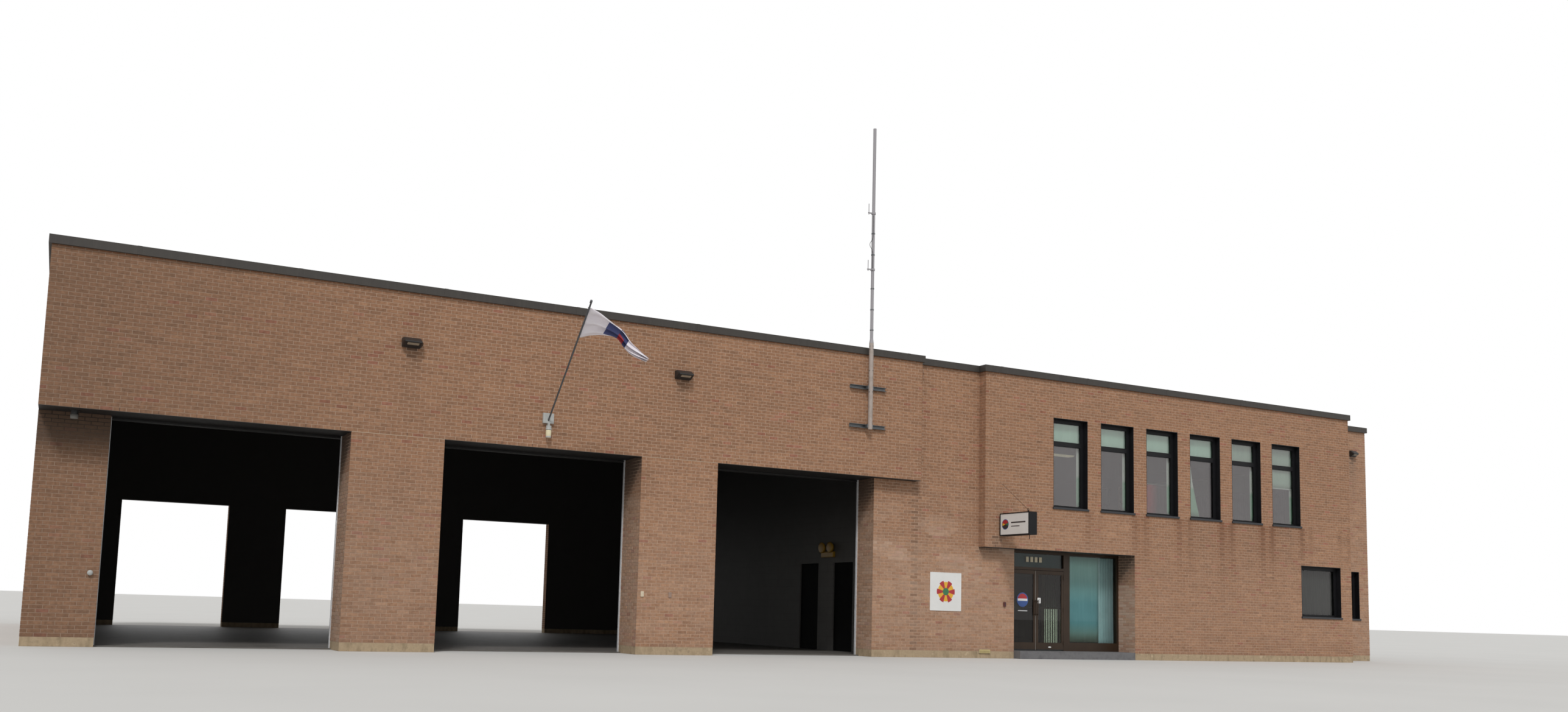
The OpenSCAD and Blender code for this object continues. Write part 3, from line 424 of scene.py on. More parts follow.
def piece(name, parts, made, slot, body="station", smooth=False, fix=True, **values):
    """Joins (points in mm, faces) parts into one mesh object that rides on a body."""
    points, faces, start = [], [], 0
    for p, f in parts:
        p = np.asarray(p, float).reshape(-1, 3)
        points.append(p)
        faces += ((f + start).tolist() if isinstance(f, np.ndarray)
                  else [[i + start for i in q] for q in f])
        start += len(p)
    mesh = bpy.data.meshes.new(name)
    mesh.from_pydata((np.vstack(points) / 1000 + CORNER).tolist(), [], faces)
    if fix:
        work = bmesh.new()
        work.from_mesh(mesh)
        bmesh.ops.recalc_face_normals(work, faces=work.faces)
        work.to_mesh(mesh)
        work.free()
    for key, value in values.items():
        mesh.attributes.new(key, "FLOAT", "POINT").data.foreach_set("value", np.asarray(value, np.float32))
    mesh.polygons.foreach_set("use_smooth", np.full(len(mesh.polygons), smooth))
    mesh.materials.append(made)
    made_object = bpy.data.objects.new(name, mesh)
    bpy.context.scene.collection.objects.link(made_object)
    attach(made_object, body)
    return made_object


def loft(rings):
    """Skin through closed rings of equal count, and a flat cap at each end."""
    rings = np.asarray(rings, float)
    m, n = rings.shape[:2]
    i, j = np.meshgrid(np.arange(m - 1), np.arange(n), indexing="ij")
    k = (j + 1) % n
    quads = np.stack([i * n + j, i * n + k, (i + 1) * n + k, (i + 1) * n + j], -1).reshape(-1, 4).tolist()
    return rings.reshape(-1, 3), quads + [list(range(n))[::-1], list(range((m - 1) * n, m * n))]


def block(lo, hi, edge=2.0):
    """A block as four rectangular rings along its longest side: full, and inset by `edge` at the ends."""
    lo, hi = np.minimum(lo, hi).astype(float), np.maximum(lo, hi).astype(float)
    axis = int(np.argmax(hi - lo))
    a, b = [k for k in range(3) if k != axis]
    e = min(edge, 0.3 * (hi - lo).min())
    corner = np.array([(0, 0, 1, 0), (1, 0, -1, 0), (1, 0, 0, 1), (1, 1, 0, -1), (1, 1, -1, 0), (0, 1, 1, 0),
                       (0, 1, 0, -1), (0, 0, 0, 1)])
    rings = []
    for at, inset in ((lo[axis], e), (lo[axis] + e, 0), (hi[axis] - e, 0), (hi[axis], e)):
        l, h = lo + inset, hi - inset
        ring = np.empty((8, 3))
        ring[:, axis] = at
        ring[:, a] = np.where(corner[:, 0], h[a], l[a]) + corner[:, 2] * e
        ring[:, b] = np.where(corner[:, 1], h[b], l[b]) + corner[:, 3] * e
        rings.append(ring)
    return loft(rings)


def lathe(base, axis, outline, count=32):
    """Turns (radius, height) pairs about an axis, 0, 1 or 2, through the base point."""
    angle = np.arange(count) * 2 * pi / count
    a, b = [(1, 2), (2, 0), (0, 1)][axis]
    rings = np.empty((len(outline), count, 3))
    for ring, (radius, height) in zip(rings, outline):
        ring[:, axis] = base[axis] + height
        ring[:, a] = base[a] + radius * np.cos(angle)
        ring[:, b] = base[b] + radius * np.sin(angle)
    return loft(rings)


def tube(path, radius, count=8):
    """A round tube along points: each ring lies square to the mean of its two stretches."""
    path = np.asarray(path, float)
    step = np.gradient(path, axis=0)
    step /= np.linalg.norm(step, axis=1)[:, None]
    side = np.cross(step, [0.31, 0.52, 0.79])
    side /= np.linalg.norm(side, axis=1)[:, None]
    up = np.cross(step, side)
    angle = np.arange(count) * 2 * pi / count
    rings = path[:, None] + radius * (np.cos(angle)[None, :, None] * side[:, None]
                                      + np.sin(angle)[None, :, None] * up[:, None])
    return loft(rings)


def surface(points):
    """Quads over a grid of points, m by n by 3."""
    m, n = points.shape[:2]
    i, j = np.meshgrid(np.arange(m - 1), np.arange(n - 1), indexing="ij")
    return points.reshape(-1, 3), np.stack([i * n + j, i * n + j + 1, (i + 1) * n + j + 1, (i + 1) * n + j],
                                           -1).reshape(-1, 4)


def turned(parts, wall):
    """Moves parts drawn in the front plane y = 0 to the far wall, the right side or the rear."""
    out = []
    for p, f in parts:
        x, y, z = np.asarray(p, float).reshape(-1, 3).T
        out.append((np.stack({"front": (x, y, z), "far": (x, y + FAR_Y, z), "side": (TOTAL_W - y, x, z),
                              "rear": (TOTAL_W - x, TOTAL_D - y, z)}[wall], 1), f))
    return out


# Brickwork: 228 by 75.3 mm modules, so that 57 courses reach the underside of the band
MODULE, JOINT, PROUD = 228.0, 11.0, 3.5
COURSE = (BAND_Z - BASE_H) / 57
chance = np.random.default_rng(11)


def lay(walls):
    """Running bond. Course k of a wall has upright joints at anchor + 228 j, moved by half a brick
    where k + shift is odd. Each brick is a closed block of 6 faces: its face stands PROUD mm before
    the mortar, its root 1 mm behind, and the face is smaller by 1.6 mm on each side."""
    rows = []
    for axis, plane, out, lo, hi, z0, z1, anchor, shift, ends, holes in walls:
        for k in range(int(round((z0 - BASE_H) / COURSE)), int(round((z1 - BASE_H) / COURSE))):
            middle = BASE_H + (k + 0.5) * COURSE
            gaps = [(a, b) for a, b, za, zb in holes if za < middle < zb]
            for l, h, free_l, free_h in split_once(lo, hi, ends, gaps):
                first = anchor + MODULE / 2 * ((k + shift) % 2)
                lines = np.arange(first + np.ceil((l - first) / MODULE) * MODULE, h, MODULE)
                lines = lines[(lines > l + 50) & (lines < h - 50)]
                starts = np.append(l if free_l else l + JOINT / 2, lines + JOINT / 2)
                stops = np.append(lines - JOINT / 2, h if free_h else h - JOINT / 2)
                if axis == 0:
                    starts[0] -= PROUD * (free_l == 2)
                    stops[-1] += PROUD * (free_h == 2)
                for s, e in zip(starts, stops):
                    rows.append((axis, plane, out, s, e, middle))
    return np.array(rows)


def split_once(lo, hi, ends, gaps):
    """The stretches of lo..hi that are left between sorted gaps, with the kind of each end."""
    at, kind, left = lo, ends[0], []
    for a, b in sorted(gaps):
        left.append((at, a, kind, 1))
        at, kind = b, 1
    left.append((at, hi, kind, ends[1]))
    return left


def bell(distance, width):
    """exp(-(d / w)^2): 1 at no distance, falling off over a width in millimetres."""
    return np.exp(-(distance / width) ** 2)


def shade(past, reach, power=1.0):
    """exp(-(d / r)^p) for a way d past an edge, and 0 before it."""
    return np.where(past > 0, np.exp(-(np.maximum(past, 0) / reach) ** power), 0)


def weather_plain(x, y, z):
    """Soot that falls off below the coping and splash above the base, and a paler middle of the wall."""
    soot = 0.1 + 0.25 * np.exp(-(PARAPET - z) / 500) + 0.15 * np.exp(-(z - BASE_H) / 350)
    return soot, 0 * x, 0.16 * bell(z - 2500, 2400)


def bricks(name, walls, stains=weather_plain):
    """One piece of brickwork, with a tone, a value of soot and painted shade, a rust value and a value of
    efflorescence and painted light for each brick. The tone is a random value of the brick, plus one that
    each course shares over 700 mm, plus a slow wave, plus a share of the paleness, which on the front walls
    is mostly painted light."""
    axis, plane, out, s, e, middle = lay(walls).T
    count = len(s)
    proud = PROUD + chance.uniform(-0.9, 0.9, count)
    half = (COURSE - JOINT) / 2
    flip = np.where(axis == 0, out > 0, out < 0)
    u0, u1 = np.where(flip, e, s), np.where(flip, s, e)
    inset = 1.6 * np.sign(u1 - u0)
    u = np.stack([u0, u1, u1, u0, u0 + inset, u1 - inset, u1 - inset, u0 + inset], 1)
    v = middle[:, None] + np.array([-half, -half, half, half, 1.6 - half, 1.6 - half, half - 1.6, half - 1.6])
    d = plane[:, None] + out[:, None] * np.where(np.arange(8) < 4, -1.0, proud[:, None])
    flat = axis[:, None] == 0
    points = np.stack([np.where(flat, u, d), np.where(flat, d, u), v], -1)
    faces = np.array([[4, 5, 6, 7], [3, 2, 1, 0], [0, 1, 5, 4], [1, 2, 6, 5], [2, 3, 7, 6], [3, 0, 4, 7]])
    faces = (np.arange(count)[:, None, None] * 8 + faces).reshape(-1, 4)
    centre = np.where(axis == 0, (s + e) / 2, plane), np.where(axis == 0, plane, (s + e) / 2)
    stain, rust, pale = stains(*centre, middle)
    drift = 0.05 * np.sin(centre[0] / 1900 + 2 * np.sin(middle / 1300))
    batch = chance.uniform(-1, 1, (110, 60))[np.clip((middle - BASE_H) // COURSE, 0, 109).astype(int),
                                             ((s + e) // 1400).astype(int)]
    # The paleness raises the tone too: on the front walls it is mostly painted light
    tone = np.clip((0.5 + (chance.beta(3, 3, count) - 0.5) * 0.5) * 0.86 + 0.13 * batch + drift + 0.6 * pale,
                   0, 0.86)
    tone = np.where(chance.random(count) < 0.03, chance.uniform(0.86, 1.0, count), tone)
    return piece(name, [(points, faces)], brick, "brick", fix=False, tone=np.repeat(tone, 8),
                 stain=np.repeat(np.clip(stain, 0, 0.85), 8), rust=np.repeat(np.clip(rust, 0, 0.8), 8),
                 lime=np.repeat(np.clip(0.5 * pale, 0, 0.6) * chance.uniform(0.5, 1.5, count), 8))


def weather_shade_and_light(x, y, z):
    """Staining, rust and paleness of the front walls. Streaks under sill ends, lamps and the sign are a bell
    across times a decay downwards; under the two front lamps they are soot and painted shadow, under the far
    lamp a soot streak, and under the sign a painted shadow. Painted shade lies in the head of each doorway
    and of the entrance, on the pier top under the band, on the recessed wall under the overhang and beside
    the band's end, and towards the left end; rust runs below sills and under the coping, and splash lies at
    the foot. The low walls are paler towards the right, and the jambs below their shaded heads too, as
    painted light; the plaque wall gets a little painted light below the overhang, and shows efflorescence
    where two sine waves add up."""
    plane = y < 10
    stain, rust = 0 * x, 0 * x
    for (left, sill, wide, high), ends in zip(FRONT_UPPER, STREAKS):
        for edge, much in zip(RUN_OFF, ends):
            below = much * plane * shade(sill - z, 1250, 1.5)
            stain = stain + 0.8 * below * bell(x - left - edge, STREAK_W)
            rust = rust + 0.65 * below * bell(x - left - edge, 2 * STREAK_W)
    for left, sill, wide, high in FRONT_UPPER[3:]:
        stain = stain + 0.15 * plane * shade(sill - z, 1500, 2) * bell(x - left - wide / 2, 700)
    (sign_x, _, sign_z), far_lamp_z = span("sign_box")[0], LAMP_Z + FAR_LAMP_UP
    # Under the two front lamps: soot and a painted shadow of each lamp; under the far lamp: a soot streak;
    # under the sign: a painted shadow of the sign
    for much, where, at, width, top, reach in (
            (0.6, plane, LAMPS[0], 150, LAMP_Z, 340), (0.6, plane, LAMPS[1], 150, LAMP_Z, 340),
            (0.8, y > 1000, FAR_LAMP_X, 130, far_lamp_z, 600), (0.75, plane, sign_x - 60, 150, sign_z, 420)):
        stain = stain + much * where * shade(top - z, reach) * bell(x - at, width)
    rust = rust + 0.4 * (z > PARAPET - 90) * (0.5 + 0.5 * np.sin(x / 900) ** 2)
    recess = y == RECESS
    entry = (y > 10) & (z < OVERHANG) & (x > ENT_X0 - 50) & (x < ENT_X1 + 50)
    jambs = (y > 10) & (y < REVEAL) & ~np.isin(y, (RECESS, SETBACK)) & (x < BAND_END)
    # Painted shade: in the heads of the entrance and of the doorway jambs, reaching lower further in, on the
    # pier top under the band, on the recessed wall under the overhang and beside the band's end, and towards
    # the left end; then splash at the foot and a slightly darker band
    stain = (stain + 1.3 * entry * shade(OVERHANG - z, 330 + 0.75 * y, 2)
             + 1.1 * jambs * shade(BAND_Z - z, 330 + 0.75 * y, 2)
             + 1.1 * (y == SETBACK) * shade(BAND_Z - z, 560, 1.5)
             + 0.7 * recess * (x > OFFICE_X) * shade(OVERHANG - z, 120)
             + 0.35 * recess * shade(x - BAND_END, 160) + 0.12 * np.exp(-(z - BASE_H) / 350)
             + 0.39 * np.clip(1 - x / 11000, 0, 1) ** 1.5 + 0.05 * ((z > BAND_Z) & (x < BAND_END)))
    plaque = recess & (x > BAYS[2][1])
    bloom = (plaque & (x < ENT_X0)) * bell(z - 2900, 900)
    bloom = bloom * np.clip(np.sin(x / 330 + 2 * np.sin(z / 410)) + np.sin(z / 150 + x / 900), 0, 1)
    foot = z < np.where(entry, OVERHANG, BAND_Z) - 800
    # Painted light: the low walls paler towards the right, the plaque wall below the overhang, and the feet
    # of the jambs and entrance returns; the far wall is paler too, and the bloom is efflorescence
    pale = (np.where(x > ENT_X1, 0.13, 0.22) * bell(z - 1300, 2300) * np.clip(x / 5000, 0, 1) + 0.3 * bloom
            + 0.1 * (plaque & (z < OVERHANG)) + 0.16 * (y > 1400) * (x > OFFICE_END)
            + (0.3 * jambs + 0.65 * entry) * foot)
    return stain, rust, pale


def x_wall(plane, lo, hi, z0, z1, ends=(2, 2), holes=(), out=-1):
    """A wall along X; its joints stand on whole 228 mm steps from the left corner."""
    return 0, plane, out, lo, hi, z0, z1, 0, 0, ends, holes


def y_wall(plane, lo, hi, z0, z1, out, ends=(1, 1), holes=()):
    """A return wall along Y; its bond starts opposite to the front's at their shared corner."""
    return 1, plane, out, lo, hi, z0, z1, lo, int(round(plane / 114)) + 1, ends, holes


def holes_of(windows, flip=None):
    """(start, end, sill, head) of windows, or the same seen from behind the wall."""
    return [((flip - x - w, flip - x) if flip else (x, x + w)) + (z, z + h) for x, z, w, h in windows]


front = [
    x_wall(0, 0, BAND_END, BAND_Z, PARAPET),
    x_wall(SETBACK, 0, BAYS[0][0], BASE_H, BAND_Z),
    x_wall(0, BAYS[0][1], BAYS[1][0], BASE_H, BAND_Z),
    x_wall(0, BAYS[1][1], BAYS[2][0], BASE_H, BAND_Z),
    x_wall(RECESS, BAYS[2][1], ENT_X0, BASE_H, OVERHANG, (2, 1)),
    x_wall(RECESS, BAYS[2][1], OFFICE_X, OVERHANG, BAND_Z, (2, 0)),
    x_wall(RECESS, BAND_END, OFFICE_X, BAND_Z, PARAPET, (0, 0)),
    x_wall(0, OFFICE_X, OFFICE_END, OVERHANG, PARAPET, holes=holes_of(FRONT_UPPER)),
    x_wall(0, ENT_X1, OFFICE_END, BASE_H, OVERHANG, holes=holes_of(FRONT_LOW)),
    x_wall(FAR_Y, OFFICE_END, TOTAL_W, BASE_H, PARAPET, (0, 2), holes_of(FAR_LOW)),
    y_wall(BAYS[0][0], SETBACK, REVEAL, BASE_H, BAND_Z, 1),
    *[y_wall(x, 0, REVEAL, BASE_H, BAND_Z, out) for bay, after in zip(BAYS, BAYS[1:])
      for x, out in ((bay[1], -1), (after[0], 1))],
    y_wall(BAYS[2][1], RECESS, REVEAL, BASE_H, BAND_Z, -1),
    y_wall(BAND_END, 0, RECESS, BAND_Z, PARAPET, 1), y_wall(OFFICE_X, 0, RECESS, OVERHANG, PARAPET, -1),
    y_wall(ENT_X0, RECESS, ENT_Y, BASE_H, OVERHANG, 1), y_wall(ENT_X1, 0, ENT_Y, BASE_H, OVERHANG, -1),
    y_wall(OFFICE_END, 0, FAR_Y, BASE_H, PARAPET, 1, (1, 0)),
]
bricks("bricks_front", front, weather_shade_and_light)
bricks("bricks_left", [y_wall(0, 0, TOTAL_D, BAND_Z, PARAPET, -1),
                       y_wall(0, SETBACK, TOTAL_D, BASE_H, BAND_Z, -1)])
bricks("bricks_right",
       [y_wall(TOTAL_W, FAR_Y, TOTAL_D, BASE_H, PARAPET, 1, holes=holes_of(SIDE_UPPER + SIDE_LOW))])
rear_holes = holes_of(REAR_UPPER + REAR_LOW, TOTAL_W) + [(a, b, 0, REAR_HEAD) for a, b in REAR_BAYS]
bricks("bricks_rear", [x_wall(TOTAL_D, 0, TOTAL_W, BASE_H, PARAPET, holes=rear_holes, out=1)]
       + [y_wall(x, TOTAL_D - WALL, TOTAL_D, BASE_H, REAR_HEAD, out)
          for a, b in REAR_BAYS for x, out in ((a, 1), (b, -1))])

# Weep vents: dark plastic slots in every third upright joint of the lowest course of band and overhang
weeps = [block([x - 4, y - 4, z + 6], [x + 4, y, z + 68], 1) for y, z, a, b in (
    (0, BAND_Z, 684, BAND_END - 200), (0, OVERHANG, OFFICE_X + 342, ENT_X1 - 200))
    for x in np.arange(a, b, 684)]
piece("weep_vents", weeps, rubber, "black_metal")

# Steel lintel plates under the band, the overhang and the rear header, front edge just behind the brick face
plates = [((0, BAYS[0][1]), (-4, WALL), BAND_Z), ((0, WALL), (WALL, SETBACK), BAND_Z),
          ((BAYS[1][0], BAYS[1][1]), (-4, WALL), BAND_Z), ((BAYS[2][0], BAND_END), (-4, WALL), BAND_Z),
          ((OFFICE_X, ENT_X1), (-4, WALL), OVERHANG)]
plates += [((a, b), (TOTAL_D - WALL, TOTAL_D + 4), REAR_HEAD) for a, b in REAR_BAYS]
piece("lintel_plates", [block((x[0], y[0], z - 8), (x[1], y[1], z), 1) for x, y, z in plates], dark_steel,
      "dark_metal")

# Wide bed joint that runs on over the piers at the height of the band's underside
piece("pier_bed_joints", [block((a[1], -4, BAND_Z - 6), (b[0], 0, BAND_Z + 6), 2)
                          for a, b in zip(BAYS, BAYS[1:])], lime_putty, "brick")

# Rubber weather strip along the lower edge of the header in each bay
piece("header_strips", [block((a + 22, REVEAL - 28, BAND_Z - 44), (b - 22, REVEAL, BAND_Z - 14), 3)
                        for a, b in BAYS], rubber, "black_metal")

# Gravelled felt strip over the joint of the two roofs, on top of the inner wall
joint = span("inner_wall")
piece("roof_joint_strip", [block((joint[0][0] - 60, RECESS + 340, joint[1][2] - 20),
                                 (joint[1][0] + 60, TOTAL_D - WALL, joint[1][2] + 4), 3)], gravel, "roofing")
# Cover straps over the joints of the coping, 80 mm wide, every 3 m
STRAP, STRAP_PITCH = 40, 3000
top, lip = PARAPET + 134, PARAPET - 36
straps = []
for x in np.arange(STRAP_PITCH / 2, TOTAL_W, STRAP_PITCH):
    y = 0 if x < BAND_END or OFFICE_X < x < OFFICE_END else (RECESS if x < OFFICE_X else FAR_Y)
    straps += [block((x - STRAP, y0, z0), (x + STRAP, y1, top + 3), 1) for y0, y1, z0 in (
        (y - 61, y - 58, lip), (y - 61, y + 331, top), (TOTAL_D - 331, TOTAL_D + 58, top))]
for y in np.arange(STRAP_PITCH, TOTAL_D - 1000, STRAP_PITCH):
    straps += [block((x0, y - STRAP, top), (x1, y + STRAP, top + 3), 1) for x0, x1 in (
        (-58, 331), (TOTAL_W - 331, TOTAL_W + 58))]
piece("coping_straps", straps, coping_sheet, "dark_metal")


# Behind the panes: blinds, curtains and nets, each hung as one sheet in the plane of its wall

def folds(x0, x1, y, z0, z1, depth=14, pitch=70, gather=0.0):
    """Cloth hung from z1: y swings by `depth` with the fold pitch, and the width gathers towards the foot."""
    u, w = np.meshgrid(np.linspace(0, 1, max(6, int((x1 - x0) / pitch * 6))), np.linspace(0, 1, 9))
    x = x0 + (x1 - x0) * (1 - gather * (1 - w) ** 1.5) * u
    y = y + depth * np.sin(2 * pi * u * (x1 - x0) / pitch + 0.6 * np.sin(3 * w)) * (0.6 + 0.4 * (1 - w))
    return surface(np.stack([x, y, z0 + (z1 - z0) * w], -1))


def thicken(sheet):
    """Gives a sheet without depth 1 mm of it."""
    sheet.modifiers.new("thickness", "SOLIDIFY").thickness = 0.001


def hang(name, made, wall, rail, *shape):
    """One sheet of cloth on a rail, hung in folds that may gather towards the foot, turned to its wall and 1
    mm thick."""
    points, quads = folds(*shape)
    cloth = piece(name, turned([(points, quads)], wall), made, "cloth", smooth=True, fix=False)
    thicken(cloth)


glazed = [(wall, w) for wall, row in (("front", FRONT_UPPER), ("side", SIDE_UPPER), ("rear", REAR_UPPER))
          for w in row]
low_glazed = [(wall, w) for wall, row in (("front", FRONT_LOW), ("far", FAR_LOW), ("side", SIDE_LOW),
                                          ("rear", REAR_LOW)) for w in row]
ROD_Y = 256


def foot_of(i, sill):
    """Foot of a blind: the last one of each row comes a third of the way down the lower light."""
    return sill + TRANSOM + (-560 if i % 6 == 5 else 20)


def rod(x, width, z):
    """A curtain rod across a window."""
    return tube([(x, ROD_Y, z), (x + width / 2, ROD_Y, z), (x + width, ROD_Y, z)], 9)


heads, bars, rods, boards = [], [], [], []
for i, (wall, (x, z, w, h)) in enumerate(glazed):
    foot = foot_of(i, z)
    heads += turned([block((x + 30, 214, z + h - 52), (x + w - 30, 264, z + h), 4)], wall)
    bars += turned([block((x + 66, 220, foot - 24), (x + w - 66, 234, foot + 2), 4)], wall)
    rods += turned([rod(x, w, z + TRANSOM + 60)], wall)
    boards += turned([block((x, 212, z), (x + w, 320, z + 28), 3)], wall)
for wall, (x, z, w, h) in low_glazed:
    rods += turned([rod(x, w, z + h - 60)], wall)
    boards += turned([block((x, 212, z), (x + w, 320, z + 28), 3)], wall)
rods.append(rod(FRONT_UPPER[2][0], WIN_W, WIN_SILL + 954))
piece("blind_head_rails", heads, silver, "white_metal")
piece("blind_bars", bars, acrylic, "white_metal")
piece("curtain_rods", rods, silver, "white_metal", smooth=True)
piece("window_boards", boards, plaster, "white_panel")
for i, (wall, (x, z, w, h)) in enumerate(glazed):
    hang(f"{wall}_blind_{i % 6 + 1}", blind, wall, "blind_head_rails", x + 70, x + w - 70, 227,
         foot_of(i, z), z + h - 30, 0, 600)
for i in (0, 1, 2, 4, 5):
    x = FRONT_UPPER[i][0] + WIN_W
    hang(f"front_curtain_{i + 1}", pale_drape, "front", "curtain_rods", x - 186, x - 30, 246, WIN_SILL + 60,
         WIN_SILL + TRANSOM + 56, 8, 38)
x = FRONT_UPPER[3][0]
hang("front_curtain_4", pale_drape, "front", "curtain_rods", x + 180, x + 262, 246, WIN_SILL + 60,
     WIN_SILL + TRANSOM + 56, 8, 30, -4.6)
x = FRONT_UPPER[2][0]
hang("red_half_curtain", dark_drape, "front", "curtain_rods", x + 20, x + WIN_W - 150, 266, WIN_SILL + 50,
     WIN_SILL + 950, 10, 150)
for i, (wall, (x, z, w, h)) in enumerate(low_glazed):
    hang(f"{wall}_net_{i + 1}", net, wall, "curtain_rods", x + 30, x + w - 30, 266, z + 50, z + h - 64, 10,
         90)
for i, (wall, (x, z, w, h)) in enumerate(glazed[6:]):
    hang(f"{wall}_upper_net_{i % 6 + 1}", net, wall, "curtain_rods", x + 30, x + w - 30, 266, z + 50,
         z + TRANSOM + 56, 10, 90)
# A lit batten lamp under the ceiling, as long as it shows through the first window
piece("ceiling_lamp", [block((30150, 8060, 6822), (32400, 8360, 6872), 20)], opal, "white_panel")
piece("ceiling_lamp_tray", [block((30130, 8040, 6866), (32420, 8380, 6900), 6)], housing, "white_panel")
# Twin-headed lamp on the hall's inner wall: a yellow case and two lamp heads on it
hall_x = span("inner_wall")[0][0]
piece("hall_lamp_case", [block((hall_x - 90, 3700, 2600), (hall_x, 4330, 2760), 12)], yellow_enamel,
      "grey_plastic")
piece("hall_lamp_heads",
      [lathe((hall_x - 60, y, 2870), 0, [(60, 30), (120, 0), (150, -60), (150, -90), (125, -96)], 24)
       for y in (3800, 4230)],
      yellow_enamel, "grey_plastic", smooth=True)

# Glazing beads round every pane
BEAD = 12
beads = []
for wall, (x, z, w, h) in glazed + low_glazed:
    levels = [z + 105, z + h - SASH_W]
    if h > 2000:
        levels[1:1] = z + TRANSOM, z + TRANSOM + TRANSOM_H
    for a, b in zip(levels[::2], levels[1::2]):
        l, r, y0, y1 = x + SASH_W, x + w - SASH_W, SASH_Y + 6, SASH_Y + 17
        beads += turned([block((x0, y0, z0), (x1, y1, z1), 2) for x0, x1, z0, z1 in (
            (l, l + BEAD, a, b), (r - BEAD, r, a, b), (l, r, a, a + BEAD), (l, r, b - BEAD, b))], wall)
piece("glazing_beads", beads, powder, "black_metal")

# Painted sill caps, a little proud of the frame's own sill
caps = [p for wall, (x, z, w, h) in glazed + low_glazed
        for p in turned([block((x - 27, -40, z - 2), (x + w + 27, 0, z + 52), 5)], wall)]
piece("sill_caps", caps, sill_paint, "black_metal")


# Entrance
leaf = span("door_left"), span("door_right")
door_mid = (leaf[0][1][0] + leaf[1][0][0]) / 2
bar_top, ent_head = 2450, OVERHANG - 70
post = leaf[1][1][0] + 225


def disc(centre, r0, r1, a0, a1, thick, axis=1, count=28):
    """A flat ring sector between two radii and two angles, with its thickness towards -axis."""
    angle = np.radians(np.linspace(a0, a1, count))
    edge = np.stack([np.concatenate([r1 * np.cos(angle), r0 * np.cos(angle[::-1])]),
                     np.concatenate([r1 * np.sin(angle), r0 * np.sin(angle[::-1])])], 1)
    rings = np.empty((2, 2 * count, 3))
    a, b = (0, 2) if axis == 1 else (1, 2)
    for ring, out in zip(rings, (0, thick)):
        ring[:, axis] = centre[axis] - out
        ring[:, a] = centre[a] + edge[:, 0]
        ring[:, b] = centre[b] + edge[:, 1]
    points, quads = loft(rings)
    faces = quads[:-2]
    n = 2 * count
    strip = [[i, i + 1, n - 2 - i, n - 1 - i] for i in range(count - 1)]
    return points, faces + [s[::-1] for s in strip] + [[k + n for k in s] for s in strip]


# Generic round decal on the left leaf: a ring round two half discs, with a white band over them
for part, ink, r0, r1, a0, a1 in (("ring", "blue", 165, 195, 0, 360), ("red", "red", 0.5, 165, 0, 180),
                                  ("blue", "blue", 0.5, 165, 180, 360)):
    piece("left_leaf_decal_" + part, [disc((door_mid - 455, ENT_Y + 15, 1560), r0, r1, a0, a1, 1)],
          vinyl[ink], "white_panel", "left_leaf")
piece("left_leaf_decal_band",
      [block((door_mid - 620, ENT_Y + 11, 1530), (door_mid - 290, ENT_Y + 13, 1590), 0.3),
       block((door_mid - 610, ENT_Y + 14, 1255), (door_mid - 290, ENT_Y + 15, 1275), 0.3)],
      vinyl["white"], "white_panel", "left_leaf")
# Card reader and a bare round tag on the right leaf
piece("right_leaf_reader", [block((door_mid + 40, ENT_Y - 26, 1474), (door_mid + 150, ENT_Y, 1627), 8)],
      acrylic, "white_panel", "right_leaf")
piece("right_leaf_reader_slot", [block((door_mid + 82, ENT_Y - 30, 1500), (door_mid + 94, ENT_Y - 24, 1600),
                                       3)], rubber, "black_metal", "right_leaf")
angle = np.arange(24) * 2 * pi / 24
piece("right_leaf_tag",
      [loft([[(door_mid + 480 + r * cos(a), ENT_Y - out, 300 + 0.38 * r * sin(a)) for a in angle]
             for r, out in ((46, 0), (54, 2), (54, 5), (46, 7))])],
      acrylic, "white_panel", "right_leaf")
for side, (lo, hi), inner in (("left", leaf[0], -1), ("right", leaf[1], 1)):
    # Bright meeting strip on the inner stile, a rubber seal along the foot and beads round the glass
    x = hi[0] if inner < 0 else lo[0]
    if inner < 0:
        piece("left_leaf_strip", [block((x - 10, ENT_Y - 4, lo[2] + 8), (x - 2, ENT_Y, hi[2] - 8), 2)],
              silver, "bronze_metal", "left_leaf")
    piece(side + "_leaf_sweep",
          [block((lo[0] + 12, ENT_Y - 6, FLOOR_Z + 11), (hi[0] - 12, ENT_Y, FLOOR_Z + 40), 3)], rubber,
          "black_metal", side + "_leaf")
    l, r, z0, z1 = lo[0] + 70, hi[0] - 70, lo[2] + 200, hi[2] - 90
    piece(side + "_leaf_beads",
          [block((x0, ENT_Y + 4, a), (x1, ENT_Y + 14, b), 2) for x0, x1, a, b in (
              (l - 2, l + BEAD, z0, z1), (r - BEAD, r + 2, z0, z1), (l, r, z0, z0 + BEAD),
              (l, r, z1 - BEAD, z1))],
          bronze, "bronze_metal", side + "_leaf")
# Four blank tiles on the transom light
TILE_X, TILE_W, TILE_PITCH = 23945, 96, 152
piece("number_tiles", [block((x, ENT_Y + 41, 2590), (x + TILE_W, ENT_Y + 49, 2730), 4)
                       for x in TILE_X + TILE_PITCH * np.arange(4)], tile_enamel, "white_panel")
# Dark board behind the transom light: a sheet of painted shade that keeps the transom dark
piece("transom_painted_shade_board", [block((leaf[0][0][0] + 20, ENT_Y + 76, bar_top - 30),
                              (post - 20, ENT_Y + 84, OVERHANG - 4), 3)], dark_steel, "dark_metal")
